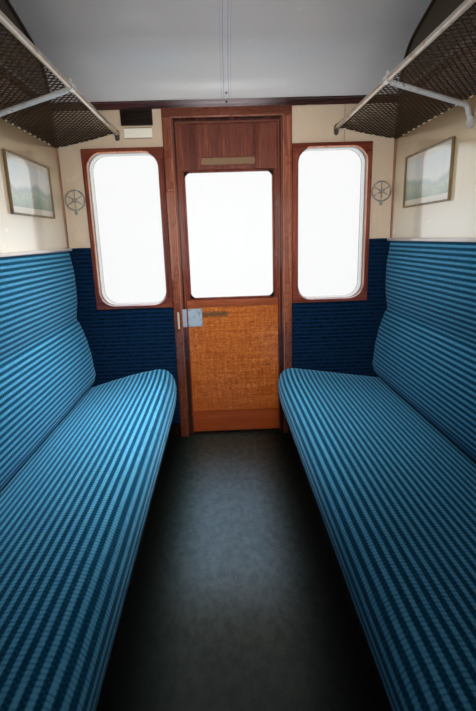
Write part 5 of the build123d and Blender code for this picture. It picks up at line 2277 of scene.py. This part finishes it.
@dataclass
class Fixings:
    """Screw heads of the inside fittings, and bolt heads of the underframe."""

    bright: Metal = Metal("screw_nickel", paint(214, 216, 220), paint(150, 150, 150), rough=0.2)
    black: Metal = Metal(
        "screw_iron", paint(48, 42, 40), paint(26, 22, 20), rough=0.5, metallic=0.5
    )
    bolt_places: tuple[float, ...] = (-0.9, -0.7, -0.5, -0.25, 0.0, 0.25, 0.5, 0.7, 0.9)
    bolt_rows: tuple[float, ...] = (0.14, 0.2)
    lock_places: tuple[float, ...] = (-0.266, -0.197)
    lock_rows: tuple[float, ...] = (0.728, 0.817)
    corner: float = 0.87775
    rosette: float = 1.476
    hook: float = 1.4

    @staticmethod
    def screw(mould: Mould, place: Point, axis: Point, radius: float) -> None:
        """Domed head on a surface.

        Args:
            mould: The mesh that it is added to.
            place: Its middle, on the surface.
            axis: Direction that it faces.
            radius: Its radius.
        """
        profile = [
            (-0.001, radius),
            (0.0008, radius),
            (0.002, radius * 0.7),
            (0.0026, radius * 0.25),
        ]
        mould.turned(place, axis, profile, 10)

    def build(self) -> None:
        """Make the heads, in one piece for each body and finish."""
        nickel, iron = self.bright.build(), self.black.build()
        self.screws(nickel, iron)
        self.bolts(iron)

    def screws(self, bright: bpy.types.Material, black: bpy.types.Material) -> None:
        """Screws of the ceiling strip, cornices and rosettes, and of the doors' lock plates.

        Args:
            bright: Finish of the bright ones.
            black: Finish of the dark ones.
        """
        inside, dark = Mould(), Mould()
        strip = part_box("ceiling_strip")[0].z
        lock_face = inner_face("far_door_lockset")
        for name, side in SIDES.items():
            inward = (0, -side, 0)
            self.screw(
                inside, (0, side * (HALF_WIDTH - 0.014), strip + 0.028), (0, -side, -0.3), 0.007
            )
            self.screw(dark, (0, side * (HALF_WIDTH - 0.0218), strip - 0.018), inward, 0.006)
            for x in (-self.corner, self.corner):
                rosette = (x, side * (HALF_WIDTH - 0.02), FLOOR + self.rosette)
                hook = (x, side * (HALF_WIDTH - 0.008), FLOOR + self.hook)
                self.screw(inside, rosette, inward, 0.005)
                self.screw(inside, hook, inward, 0.003)
            lock = Mould()
            for x in self.lock_places:
                for z in self.lock_rows:
                    self.screw(lock, (side * x, side * lock_face, FLOOR + z), inward, 0.0032)
            lock.piece(f"{name}_lock_screws", black, DOORS[name])
        inside.piece("bright_screws", bright)
        dark.piece("dark_screws", black)

    def bolts(self, black: bpy.types.Material) -> None:
        """Two rows of six-sided bolt heads along the outside of each solebar.

        Args:
            black: Their finish.
        """
        bolts = Mould()
        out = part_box("solebars")[1].y - 0.0005
        profile = [(0, 0.012), (0.008, 0.012), (0.011, 0.008)]
        for side in SIDES.values():
            for x in self.bolt_places:
                for z in self.bolt_rows:
                    bolts.turned((x, side * out, z), (0, side, 0), profile, 6)
        bolts.piece("solebar_bolts", black, smooth=False)


def main() -> None:
    """Build every sub-assembly in order."""
    for part in (Studio(), Finishes(), Seating(), Nets(), Windows(), Fixings()):
        part.build()
        log.info("%s built", type(part).__name__)


if __name__ == "__main__":
    logging.basicConfig(level=logging.INFO, format="%(name)s: %(message)s")
    main()
